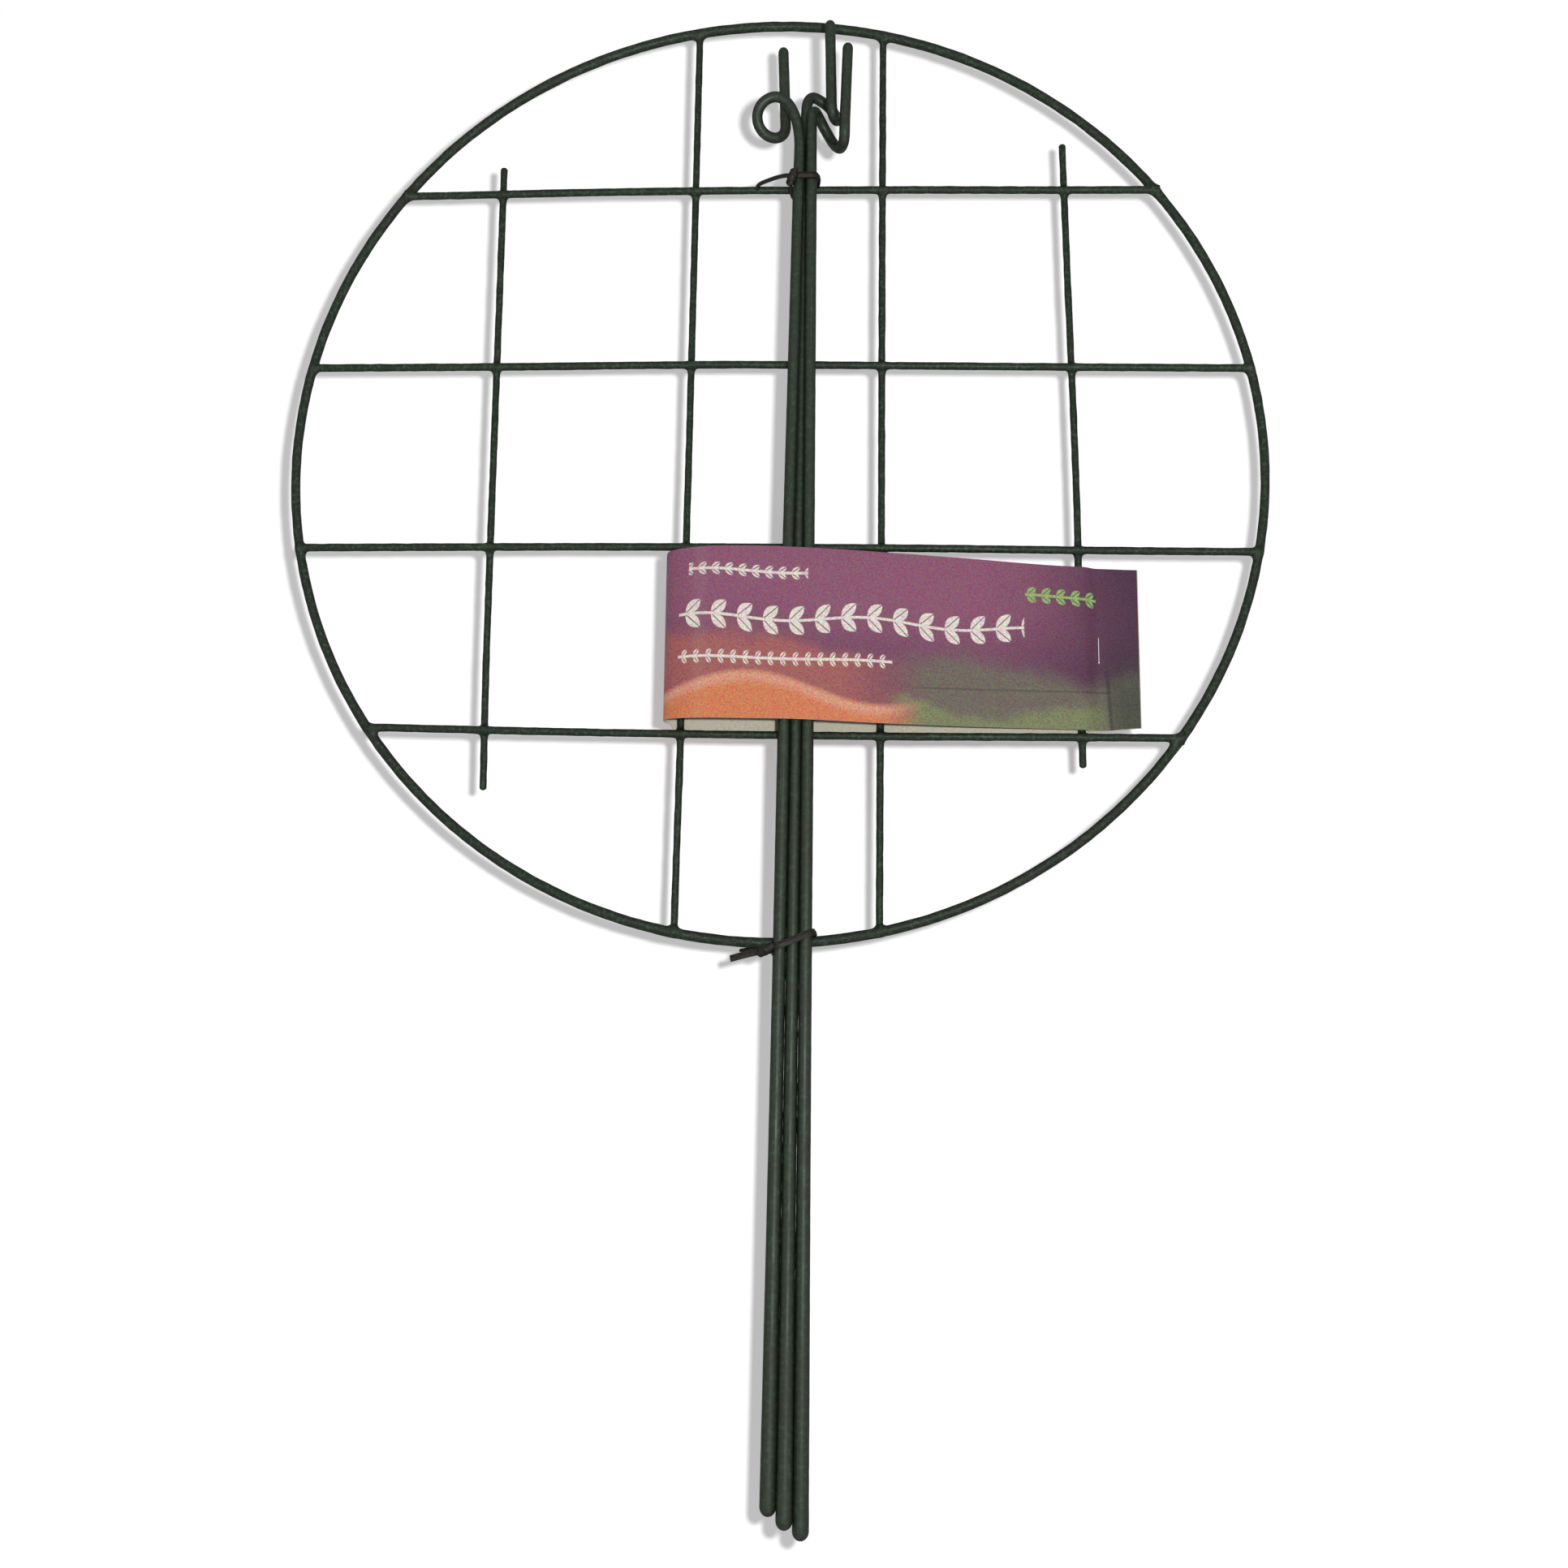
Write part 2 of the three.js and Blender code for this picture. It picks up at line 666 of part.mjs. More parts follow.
function cardGeometry() {
  const line = cardLine()
  const crestZ = Math.max(...line.map((point) => point.z))
  const endZ = line[line.length - 1].z
  const count = line.length
  const sides = [[], []]
  line.forEach((point, i) => {
    const before = line[Math.max(i - 1, 0)]
    const after = line[Math.min(i + 1, count - 1)]
    const tangent = new THREE.Vector2(after.x - before.x, after.z - before.z).normalize()
    const shift = new THREE.Vector2(-tangent.y, tangent.x).multiplyScalar(cardThickness / 2)
    sides[0].push({ x: point.x + shift.x, z: point.z + shift.y, frontShare: point.frontShare })
    sides[1].push({ x: point.x - shift.x, z: point.z - shift.y, frontShare: point.frontShare })
  })
  const outline = sides[0].concat(sides[1].slice().reverse())
  const positions = []
  for (let row = 0; row <= cardRows; row += 1) {
    for (const point of outline) {
      const lift = Math.min(Math.max((point.z - endZ) / (crestZ - endZ), 0), 1)
      const frontTop = cardEndTop + (cardCrestTop - cardEndTop) * (point.frontShare < 1 ? 1 : lift)
      const frontBottom = cardEndBottom + (cardCrestBottom - cardEndBottom) * (point.frontShare < 1 ? 1 : lift)
      const top = cardBackTop + (frontTop - cardBackTop) * point.frontShare
      const bottom = cardBackBottom + (frontBottom - cardBackBottom) * point.frontShare
      positions.push(point.x, bottom + ((top - bottom) * row) / cardRows, point.z)
    }
  }
  const around = outline.length
  const index = []
  for (let row = 0; row < cardRows; row += 1) {
    for (let i = 0; i < around; i += 1) {
      const j = (i + 1) % around
      const [a, b] = [row * around + i, row * around + j]
      index.push(a, b, b + around, a, b + around, a + around)
    }
  }
  const last = cardRows * around
  for (let i = 0; i < count - 1; i += 1) {
    const [a, b] = [i, i + 1]
    const [c, d] = [around - 2 - i, around - 1 - i]
    index.push(a, c, b, a, d, c)
    index.push(last + a, last + b, last + c, last + a, last + c, last + d)
  }
  const geometry = new THREE.BufferGeometry()
  geometry.setAttribute('position', new THREE.BufferAttribute(new Float32Array(positions), 3))
  geometry.setIndex(index)
  return geometry
}

// Staple: crown on the front layer, legs through both layers and their ends folded inwards behind
function stapleParts(grow) {
  const backZ = tailLift - clearance
  const frontLift = tailLift + 2 * cardThickness + clearance
  const crownZ = frontLift + clearance / 2
  const x = rightShortX + stapleOffset
  const wire = stapleWire + 2 * grow
  const legHeight = crownZ + stapleWire - backZ + stapleWire
  const legMiddle = (crownZ + stapleWire + backZ - stapleWire) / 2
  const crown = new THREE.BoxGeometry(wire, stapleCrown + 2 * grow, wire)
  crown.translate(x, stapleY, crownZ + stapleWire / 2)
  let solid = toSolid(crown)
  for (const side of [-1, 1]) {
    const legY = stapleY + side * (stapleCrown - stapleWire) / 2
    const leg = new THREE.BoxGeometry(wire, wire, legHeight + 2 * grow)
    leg.translate(x, legY, legMiddle)
    const foot = new THREE.BoxGeometry(wire, stapleFoot + 2 * grow, wire)
    foot.translate(x, legY - side * (stapleFoot - stapleWire) / 2, backZ - stapleWire / 2)
    solid = solid.add(toSolid(leg)).add(toSolid(foot))
  }
  return solid
}

function cardSolid() {
  return toSolid(cardGeometry()).subtract(stapleParts(clearance / 3))
}

// Scene graph
function part(name, solid, look) {
  const mesh = new THREE.Mesh(toGeometry(solid), new THREE.MeshStandardMaterial(look))
  mesh.name = name
  return mesh
}

const grid = new THREE.Group()
grid.add(part('hoop', hoopSolid, coatedSteel))
crossYs.forEach((y, i) => grid.add(part(`cross_wire_${i + 1}`, crossSolid(y), coatedSteel)))
grid.add(part('long_wire_left', longSolid(leftLongX), coatedSteel))
grid.add(part('long_wire_right', longSolid(rightLongX), coatedSteel))
grid.add(part('short_wire_left', toSolid(shortWire(leftShortX, shortSlipLeft, lengthWire / 2)), coatedSteel))
grid.add(part('short_wire_right', toSolid(shortWire(rightShortX, shortSlipRight, lengthWire / 2)), coatedSteel))

const bundle = new THREE.Group()
for (const leg of legs) {
  bundle.add(part(leg.name, legSolid(leg), coatedSteel))
}

const ties = new THREE.Group()
ties.add(part('twist_tie_top', topTie(), darkPlastic))
ties.add(part('twist_tie_bottom', bottomTie(), darkPlastic))

const label = new THREE.Group()
label.add(part('card_sleeve', cardSolid(), printedCard))
label.add(part('staple', stapleParts(0), brightSteel))

const support = new THREE.Group()
support.add(grid)
support.add(bundle)
support.add(ties)
support.add(label)
support.position.y = -middleOfPart

export default support
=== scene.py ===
# %% [markdown]
# A grow through plant support, packed flat for a garden shop.
# It is a round grid of green coated wire. Three stakes lie across it in a bundle, and each ends in a
# pigtail. Two twist ties and a folded card sleeve hold the bundle.
# The frame gives every piece its place and size. This lesson draws the wires again as round, slightly
# uneven rods with fillets of coating at their joints, and makes the card, the ties and the staple as finer
# meshes.

# %% Load the frame
import json
import math
from functools import partial

import bmesh
import bpy
import numpy as np
from mathutils import Matrix, Vector, noise


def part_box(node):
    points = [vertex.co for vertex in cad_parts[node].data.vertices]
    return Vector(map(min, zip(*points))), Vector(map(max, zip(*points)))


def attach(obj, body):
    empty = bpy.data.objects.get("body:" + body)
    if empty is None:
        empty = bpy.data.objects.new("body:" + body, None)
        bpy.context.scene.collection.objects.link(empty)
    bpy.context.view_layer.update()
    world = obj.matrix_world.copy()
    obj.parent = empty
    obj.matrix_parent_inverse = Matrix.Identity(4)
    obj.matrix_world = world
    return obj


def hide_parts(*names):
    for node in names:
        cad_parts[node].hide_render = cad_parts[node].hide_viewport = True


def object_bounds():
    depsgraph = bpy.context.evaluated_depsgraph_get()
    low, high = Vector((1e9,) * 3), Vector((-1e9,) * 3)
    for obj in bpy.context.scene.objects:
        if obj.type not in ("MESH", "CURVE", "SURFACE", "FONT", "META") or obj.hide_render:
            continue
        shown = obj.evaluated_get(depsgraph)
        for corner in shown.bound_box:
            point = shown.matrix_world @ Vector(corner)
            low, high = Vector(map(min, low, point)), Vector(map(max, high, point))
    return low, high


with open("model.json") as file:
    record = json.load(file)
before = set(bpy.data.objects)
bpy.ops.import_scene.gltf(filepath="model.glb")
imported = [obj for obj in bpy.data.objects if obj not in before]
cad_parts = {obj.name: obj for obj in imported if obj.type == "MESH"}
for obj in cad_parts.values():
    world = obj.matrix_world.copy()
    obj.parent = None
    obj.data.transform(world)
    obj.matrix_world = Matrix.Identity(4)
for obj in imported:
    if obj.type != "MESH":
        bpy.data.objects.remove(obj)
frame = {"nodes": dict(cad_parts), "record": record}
cad_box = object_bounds()
nodes = frame["nodes"]
MM = 0.001
size_mm = [round((high - low) / MM, 1) for low, high in zip(*cad_box)]
print("frame:", len(nodes), "nodes, overall size in mm", size_mm)

# %% [markdown]
# The camera stands where the photographer stood: in front of the flat grid, a little towards its foot. Its
# place was worked out from the hoop, which is a true circle, and from the wires. It is kept as three shifts
# and three turns of the object in front of the lens, the numbers that such a fit gives.

# %% Camera
picture_side = 1932
focal_pixels = 2500
sensor_width = 36.0
fit_turns = (-0.21053293, -0.02529184, -0.00974747)
fit_shift = Vector((-2.663, 133.704, -842.613)) * MM
hoop_low, hoop_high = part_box("hoop")
hoop_centre = (hoop_low + hoop_high) / 2


def new_object(name, data):
    made = bpy.data.objects.new(name, data)
    bpy.context.scene.collection.objects.link(made)
    return made


turn_x, turn_y, turn_z = [Matrix.Rotation(a, 3, axis) for a, axis in zip(fit_turns, "XYZ")]
camera_turn = (turn_x @ turn_y @ turn_z).transposed()

camera_data = bpy.data.cameras.new("camera")
camera_data.sensor_width = sensor_width
camera_data.lens = sensor_width * focal_pixels / picture_side
camera_data.clip_start = 0.01
camera = new_object("camera", camera_data)
camera_place = camera_turn @ (-fit_shift) + hoop_centre
camera.matrix_world = Matrix.Translation(camera_place) @ camera_turn.to_4x4()
bpy.context.scene.camera = camera
print("camera in mm", [round(v / MM) for v in camera_place], "lens", round(camera_data.lens, 2))

# %% [markdown]
# Materials, world and lamp are all built from shader nodes, so a few helpers come first.
# What a node puts out is held as a signal. Plus, minus, times and divided by between signals and numbers
# add the maths nodes, so that a pattern can be written as a plain sum. Wiring by hand would hide the sums
# in the links.

# %% Helpers for shader nodes
WHITE = (1, 1, 1, 1)


def feed(socket, given):
    """Links an input to a signal, or gives it a plain value."""
    if isinstance(given, Signal):
        given.tree.links.new(given.socket, socket)
    else:
        socket.default_value = given


def add_node(tree, kind, ins=None, give=0, **settings):
    """A shader node. Its inputs are signals or plain values; it gives back one output, or all by name."""
    made = tree.nodes.new("ShaderNode" + kind)
    for key, value in settings.items():
        setattr(made, key, value)
    for key, given in (ins or {}).items():
        feed(made.inputs[key], given)
    if give is None:
        return {socket.name: Signal(socket) for socket in made.outputs}
    return Signal(made.outputs[give])


def tree_of(*values):
    return next(value.tree for value in values if isinstance(value, Signal))


def maths(operation, *values):
    return add_node(tree_of(*values), "Math", dict(enumerate(values)), operation=operation)


class Signal:
    """What a node puts out, ready for sums."""

    def __init__(self, socket):
        self.socket, self.tree = socket, socket.id_data

    def __add__(self, other):
        return maths("ADD", self, other)

    def __sub__(self, other):
        return maths("SUBTRACT", self, other)

    def __rsub__(self, other):
        return maths("SUBTRACT", other, self)

    def __mul__(self, other):
        return maths("MULTIPLY", self, other)

    def __truediv__(self, other):
        return maths("DIVIDE", self, other)

    def __abs__(self):
        return maths("ABSOLUTE", self)


def scaled(value, low, high, first=0.0, last=1.0, kind="LINEAR"):
    """The value on a scale that runs from first, at low, to last, at high."""
    ins = {"Value": value, "From Min": low, "From Max": high, "To Min": first, "To Max": last}
    return add_node(value.tree, "MapRange", ins, interpolation_type=kind)


ramped = partial(scaled, kind="SMOOTHSTEP")


def mixed(share, first, second, blend="MIX"):
    ins = {"Factor": share, "A": first, "B": second}
    return add_node(tree_of(share, first, second), "Mix", ins, "Result", data_type="RGBA", blend_type=blend)

# %% Helpers for materials and node groups
KINDS = {"Colour": "Color", "Speck": "Color", "Dust": "Color", "Place": "Vector"}


def new_material(name):
    """An empty material, and the function that adds nodes to it."""
    material = bpy.data.materials.new(name)
    material.use_nodes = True
    material.node_tree.nodes.clear()
    return material, partial(add_node, material.node_tree)


def skin(node, values, height=None, bump=0.0, depth=0.05 * MM):
    """Ends a material with a principled shader, whose normal follows a height where one is given."""
    if height is not None:
        values["Normal"] = node("Bump", {"Strength": bump, "Distance": depth, "Height": height})
    node("OutputMaterial", {"Surface": node("BsdfPrincipled", values)}, None)


def new_group(name, ins, outs):
    """A node group with named sockets, its adder of nodes, its inputs as signals and its open outputs."""
    group = bpy.data.node_groups.new(name, "ShaderNodeTree")
    for side, titles in (("INPUT", ins), ("OUTPUT", outs)):
        for title in titles:
            kind = "NodeSocket" + KINDS.get(title, "Float")
            group.interface.new_socket(title, in_out=side, socket_type=kind)
    given = [Signal(socket) for socket in group.nodes.new("NodeGroupInput").outputs[:len(ins)]]
    return group, partial(add_node, group), given, group.nodes.new("NodeGroupOutput").inputs


def use_group(node, group, **values):
    """The outputs of a group whose inputs are given by name."""
    ins = {key.replace("_", " ").capitalize(): value for key, value in values.items()}
    return node("Group", ins, None, node_tree=group)


print("inputs that are no plain numbers:", ", ".join(KINDS))

# %% [markdown]
# The floor is white. One soft lamp stands over the photographer's right shoulder, so that each wire drops a
# grey shadow to its lower left. As far away as the lens, it keeps that shadow equally near its wire over
# the whole ring, which a sun would not do. Its light does not fade with distance, so the floor is evenly
# lit. The floor adds a little white of its own for the camera alone, and more far out, where the lamp
# shines on it at a slant. So it is white where it is lit, and the shadow stays grey. From below it is
# clear, and the back of the part can be seen. The world is white to the camera and in reflections, and
# dimmer as a light.

# %% Floor, world and light
floor_drop = 36 * MM
floor_half = 6.0
floor_colour = (0.9, 0.9, 0.9, 1)
floor_glow = 0.305
far_glow = 1.0
glow_rises = (0.45, 1.6)
world_light = 0.26
lamp_light = 2.06
lamp_radius = 24 * MM
shadow_shift = Vector((-4.65, -2.7, 0)) * MM
wire_height = hoop_centre.z + floor_drop

floor_material, node = new_material("floor_white")
distance = node("VectorMath", {0: node("TexCoord", give="Object")}, "Value", operation="LENGTH")
glow_here = node("LightPath", give="Is Camera Ray") * ramped(distance, *glow_rises, floor_glow, far_glow)
glow = node("Emission", {"Color": WHITE, "Strength": glow_here})
lit = node("AddShader", {0: node("BsdfDiffuse", {"Color": floor_colour}), 1: glow})
from_below = node("NewGeometry", give="Backfacing")
one_sided = node("MixShader", {"Fac": from_below, 1: lit, 2: node("BsdfTransparent")})
node("OutputMaterial", {"Surface": one_sided}, None)

corners = [(floor_half * x, floor_half * y, -floor_drop) for x, y in ((-1, -1), (1, -1), (1, 1), (-1, 1))]
floor_mesh = bpy.data.meshes.new("floor")
floor_mesh.from_pydata(corners, [], [(0, 1, 2, 3)])
floor_mesh.materials.append(floor_material)
floor = new_object("floor", floor_mesh)

world = bpy.data.worlds.new("studio")
bpy.context.scene.world = world
world.use_nodes = True
world.node_tree.nodes.clear()
node = partial(add_node, world.node_tree)
rays = node("LightPath", give=None)
seen = maths("MAXIMUM", rays["Is Camera Ray"], rays["Is Transmission Ray"])
seen = maths("MAXIMUM", seen, rays["Is Glossy Ray"])
backdrop = node("Background", {"Color": WHITE, "Strength": scaled(seen, 0.0, 1.0, world_light, 1.0)})
node("OutputWorld", {"Surface": backdrop}, None)

lens_height = camera_place.z - hoop_centre.z
lamp_place = camera_place - shadow_shift * lens_height / wire_height
lamp_data = bpy.data.lights.new("soft_lamp", "POINT")
lamp_data.energy = lamp_light * 4 * math.pi
lamp_data.shadow_soft_size = lamp_radius
lamp_data.use_nodes = True
unfading = add_node(lamp_data.node_tree, "LightFalloff", {"Strength": 1.0}, "Constant")
feed(lamp_data.node_tree.nodes["Emission"].inputs["Strength"], unfading)
new_object("soft_lamp", lamp_data).location = lamp_place
bpy.context.scene.view_settings.view_transform = "Standard"
print("lamp at", [round(v / MM) for v in lamp_place], "lens at", [round(v / MM) for v in camera_place])

# %% [markdown]
# Every wire is steel under a dark green coating. The real coating is sprayed on, so it has a fine, uneven
# grain: green specks, darker pits and a little brown dust, and it is duller in some places than in others.
# The same effect serves the grid, the stakes and the ties with other values, so it is a node group. It
# gives a colour, a roughness and a height, and the shader itself stays in each material. There the colour
# and the shine are made darker towards the rim of a wire or tie. This is painted shade, for the dark edges
# of the wires and the dark gaps between the stakes.

# %% Node group for grainy coating
coating_group, node, given, out = new_group(
    "grainy_coating", ("Colour", "Speck", "Dust", "Grain", "Speck amount", "Dust amount", "Smooth", "Rough"),
    ("Colour", "Roughness", "Height"))
colour, speck, dust, grain, speck_amount, dust_amount, smooth, rough = given
place = node("TexCoord", give="Object")
fine = node("TexNoise", {"Vector": place, "Scale": grain, "Detail": 3.0, "Roughness": 0.6})
coarse = node("TexNoise", {"Vector": place, "Scale": 60.0, "Detail": 4.0, "Roughness": 0.6})
specked = mixed(scaled(fine, 0.48, 0.72) * speck_amount, colour, speck)
feed(out["Colour"], mixed(scaled(coarse, 0.5, 0.75) * dust_amount, specked, dust))
feed(out["Roughness"], scaled(coarse, 0.3, 0.7, smooth, rough))
feed(out["Height"], fine)
print("group:", coating_group.name, "with", len(coating_group.nodes), "nodes")

# %% Coated materials
coating_relief = 0.12 * MM
# How dark the rim of a wire is painted: painted shade
painted_rim_shade = 0.3


def coated_material(name, bump=0.15, specular=0.5, **values):
    material, node = new_material(name)
    grain = use_group(node, coating_group, **values)
    # Colour and shine fall off towards the rim of each wire: painted shade, for dark edges and gaps between
    # stakes
    rim = scaled(node("LayerWeight", {"Blend": 0.5}, "Facing"), 0.08, 0.7, 1.0, painted_rim_shade)
    skin(node, {"Base Color": mixed(1.0, grain["Colour"], rim, "MULTIPLY"), "Roughness": grain["Roughness"],
                "Specular IOR Level": rim * specular}, grain["Height"], bump, coating_relief)
    return material


on_wires = {"speck": (0.06, 0.098, 0.058, 1), "dust": (0.034, 0.024, 0.02, 1), "dust_amount": 0.45}
grid_coating = coated_material(
    "green_grid_coating", specular=0.18, colour=(0.0115, 0.0205, 0.0118, 1), grain=700.0, speck_amount=0.75,
    smooth=0.4, rough=0.62, **on_wires)
# The stakes get the grid's green coating painted lighter: a painted highlight, for the light streaks along
# them
stake_coating = coated_material(
    "green_stake_coating", specular=0.24, colour=(0.02, 0.032, 0.0195, 1), grain=500.0, speck_amount=0.5,
    smooth=0.36, rough=0.56, **on_wires)
print("coatings:", grid_coating.name, stake_coating.name)

# %% [markdown]
# The ties and the staple are swept: an outline is carried along a path and turned to face a given way at
# every step. Curves with a bevel could do the same, but they cannot turn a flat ribbon as freely. Another
# helper gathers the shells of a piece into one mesh and hangs it on its body.

# %% Helpers for swept shells


def tube_faces(rows, around, closed):
    """Faces that join rows of corners into a tube, with a lid at each end where it is open."""
    faces = []
    for i in range(rows if closed else rows - 1):
        row, after = i * around, (i + 1) % rows * around
        for j in range(around):
            k = (j + 1) % around
            faces.append((row + j, row + k, after + k, after + j))
    if not closed:
        faces += [tuple(range(around)), tuple(range((rows - 1) * around, rows * around))]
    return faces


def sweep(points, ups, outline, closed=False):
    """A shell: the outline, pairs of (across, up), carried along the points."""
    count = len(points)
    corners = []
    for i, point in enumerate(points):
        before = points[i - 1] if closed or i else point
        after = points[(i + 1) % count] if closed or i + 1 < count else point
        along = (after - before).normalized()
        up = (ups[i] - ups[i].dot(along) * along).normalized()
        across = along.cross(up)
        corners += [point + across * a + up * b for a, b in outline]
    return corners, tube_faces(count, len(outline), closed)


def smooth_path(points, steps, closed=False):
    """A Catmull-Rom curve through the points, with the given steps between each two."""
    count = len(points)
    path = []
    for i in range(count if closed else count - 1):
        near = range(i - 1, i + 3)
        a, b, c, d = [points[k % count if closed else min(max(k, 0), count - 1)] for k in near]
        for step in range(steps):
            t = step / steps
            path.append(b + 0.5 * t * (c - a + t * (2 * a - 5 * b + 4 * c - d + t * (3 * (b - c) + d - a))))
    return path if closed else path + [points[-1]]


print("a tube of 3 rings with 8 corners each:", len(tube_faces(3, 8, False)), "faces with its two lids")

# %% Helpers for pieces


def new_mesh_object(name, build, materials):
    mesh = bpy.data.meshes.new(name)
    build.to_mesh(mesh)
    build.free()
    for material in materials:
        mesh.materials.append(material)
    return new_object(name, mesh)


def make_piece(name, shells, material, body, replaced):
    """One mesh from shells given in millimetres, riding on a body of the frame."""
    build = bmesh.new()
    for corners, faces in shells:
        made = [build.verts.new(corner * MM) for corner in corners]
        for face in faces:
            build.faces.new([made[i] for i in face])
    bmesh.ops.recalc_face_normals(build, faces=build.faces)
    for face in build.faces:
        face.smooth = True
    piece = new_mesh_object(name, build, [material])
    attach(piece, body)
    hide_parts(*replaced)
    return piece


def keep_edges(piece, degrees):
    """Keeps the edges sharp at which two faces meet at more than some degrees."""
    edge = piece.modifiers.new("edge", "EDGE_SPLIT")
    edge.split_angle = math.radians(degrees)

# %% [markdown]
# The frame's wires are plain rods with flat facets. The real ones are round and a little uneven, and their
# coating has run together in small hollow fillets wherever two of them are welded.
# A voxel remesh of the whole grid would join them softly too, but wire this thin in a ring this wide would
# need millions of cells. So each wire is drawn again along its own middle line, with its skin worked out
# point by point. The hoop's middle line is a circle and the straight wires need only two cuts. A stake
# bends into its pigtail, so its rod is followed from the foot upwards, cutting it across at every small
# step.

# %% Middle lines of the wires
trace_step = 0.7
tip_zone = 4
foot_steps = 12
slanted = (0.31, 0.17, 0.93)
fewest_cuts = 8
body_of = {node: body for body, group in frame["record"]["behaviour"]["bodies"].items() for node in group}
straight_wires = sorted(n for n in nodes if "_wire_" in n)
stakes = sorted(n for n in nodes if n.startswith("leg_"))


def rod_edges(name):
    """Both ends of every edge of a node's mesh, and the corners of its box, in millimetres."""
    mesh = nodes[name].data
    spots = np.empty(len(mesh.vertices) * 3)
    pairs = np.empty(len(mesh.edges) * 2, dtype=np.int32)
    mesh.vertices.foreach_get("co", spots)
    mesh.edges.foreach_get("vertices", pairs)
    spots = spots.reshape(-1, 3) / MM
    low, high = [np.array(corner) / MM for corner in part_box(name)]
    return (spots[pairs[0::2]], spots[pairs[1::2]]), low, high


def unit(vector):
    return vector / np.linalg.norm(vector)


def cut_rod(edges, centre, heading, reach):
    """Middle and radius of the circle on which a plane cuts a rod, or None where it misses the rod."""
    before, after = [(ends - centre) @ heading for ends in edges]
    crossed = (before < 0) != (after < 0)
    share = (before[crossed] / (before[crossed] - after[crossed]))[:, None]
    spots = edges[0][crossed] * (1 - share) + edges[1][crossed] * share
    spots = spots[np.linalg.norm(spots - centre, axis=1) < reach]
    if len(spots) < fewest_cuts:
        return None
    side = unit(np.cross(heading, slanted))
    third = np.cross(heading, side)
    flat = np.stack(((spots - centre) @ side, (spots - centre) @ third, np.full(len(spots), 0.5)), axis=1)
    (a, b, c), *_ = np.linalg.lstsq(2 * flat, (flat[:, :2] ** 2).sum(axis=1), rcond=None)
    return centre + a * side + b * third, math.sqrt(c + a * a + b * b)


def straight_rod(name, inset=9.0, wide=30.0):
    """Both ends of the middle line of a straight wire, and its radius."""
    edges, low, high = rod_edges(name)
    main = int(np.argmax(high - low))
    heading = np.eye(3)[main]
    cuts = []
    for level in (low[main] + inset, high[main] - inset):
        start = (low + high) / 2
        start[main] = level
        cuts.append(cut_rod(edges, start, heading, wide))
    (first, radius), (second, _) = cuts
    slope = (second - first) / (second[main] - first[main])
    return first + slope * (low[main] - first[main]), first + slope * (high[main] - first[main]), radius


def follow_rod(name, start_up=4.0, wide=40.0, slack=0.2):
    """Middle line and radii of a bent rod, from its lower end on, step by step to its tip."""
    edges, low, high = rod_edges(name)
    heading = np.array((0.0, 1.0, 0.0))
    start = (low + high) / 2
    start[1] = low[1] + start_up
    cut = cut_rod(edges, start, heading, wide)
    line, radii = [], []
    while cut is not None:
        line.append(cut[0])
        radii.append(cut[1])
        if len(line) > 1:
            heading = unit(line[-1] - line[-2])
        cut = cut_rod(edges, line[-1] + heading * trace_step, heading, radii[-1] + slack)
    foot_heading = unit(line[0] - line[foot_steps])
    foot = line[0] + foot_heading * (line[0][1] - low[1])
    ahead = (edges[0] - line[-1]) @ heading
    aside = np.linalg.norm(edges[0] - line[-1] - ahead[:, None] * heading, axis=1)
    tip = line[-1] + heading * max(ahead[(aside < radii[-1] + slack) & (ahead < tip_zone)].max(), 0.01)
    return [foot] + line + [tip], [radii[0]] + radii + [radii[-1]]


rods = {name: straight_rod(name) for name in straight_wires}
followed = {name: follow_rod(name) for name in stakes}
hoop_mid = np.array(hoop_centre) / MM
hoop_wire = (hoop_high.z - hoop_low.z) / 2 / MM
hoop_radius = (hoop_high.x - hoop_low.x) / 2 / MM - hoop_wire


print("hoop radius %.1f, wire radius %.2f" % (hoop_radius, hoop_wire))
for name, (first, second, radius) in rods.items():
    print(name, "%.1f mm long, radius %.2f" % (np.linalg.norm(second - first), radius))
for name, (line, radii) in followed.items():
    print(name, len(line), "steps, radius %.2f at the foot and %.2f at the tip" % (radii[0], radii[-1]))

# %% [markdown]
# Welded wire is never quite straight, so a short table says how far each one strays sideways along its
# length. Drawn as straight lines between the marks it would show kinks, so their corners are rounded off.

# %% Slight bends of the wires
bend_reach = 12
# Place along each wire, and how far it strays there from a straight line, up or to the right
strays = {
    "cross_wire_1": (
        (-161, -1.1), (-130, -0.5), (-100, 0.2), (-70, 0.7), (-20, 1.2), (60, 1.2), (110, 0.9), (161, 0.8)),
    "cross_wire_2": (
        (-197, -0.4), (-100, 0.2), (-70, 0.6), (-20, 1.0), (10, 0.8), (60, 0.3), (112, -0.2), (197, -0.9)),
    "cross_wire_3": (
        (-198, -0.3), (-100, 0.15), (-40, 0.2), (60, -0.3), (112, -0.95), (145, -1.3), (198, -1.7)),
    "cross_wire_4": ((-164, 2.8), (-100, 1.45), (-70, 0.9), (-20, 0.3), (60, -0.3), (112, -0.3), (164, -0.5)),
    "long_wire_left": ((-88, -0.1), (-50, 0.1), (-25, 0.35), (50, 0.5), (90, 0.65), (170, 0.7), (309, 0.55)),
    "long_wire_right": ((-88, 0.75), (-25, 0.6), (90, 0.5), (130, 0.35), (210, 0.1), (309, -0.1)),
    "short_wire_left": ((-29, 0.9), (20, 0.0), (90, -0.4), (170, -0.75), (245, -1.1)),
    "short_wire_right": ((-19, 0.5), (90, 0.4), (130, -0.2), (190, -1.5), (255, -2.7)),
}


def soft_interp(x, marks, values, reach):
    """Straight lines between marks, their corners rounded off over a reach to both sides."""
    shifts = (-reach, -reach / 2, 0, reach / 2, reach)
    return sum(np.interp(x + shift, marks, values) for shift in shifts) / len(shifts)


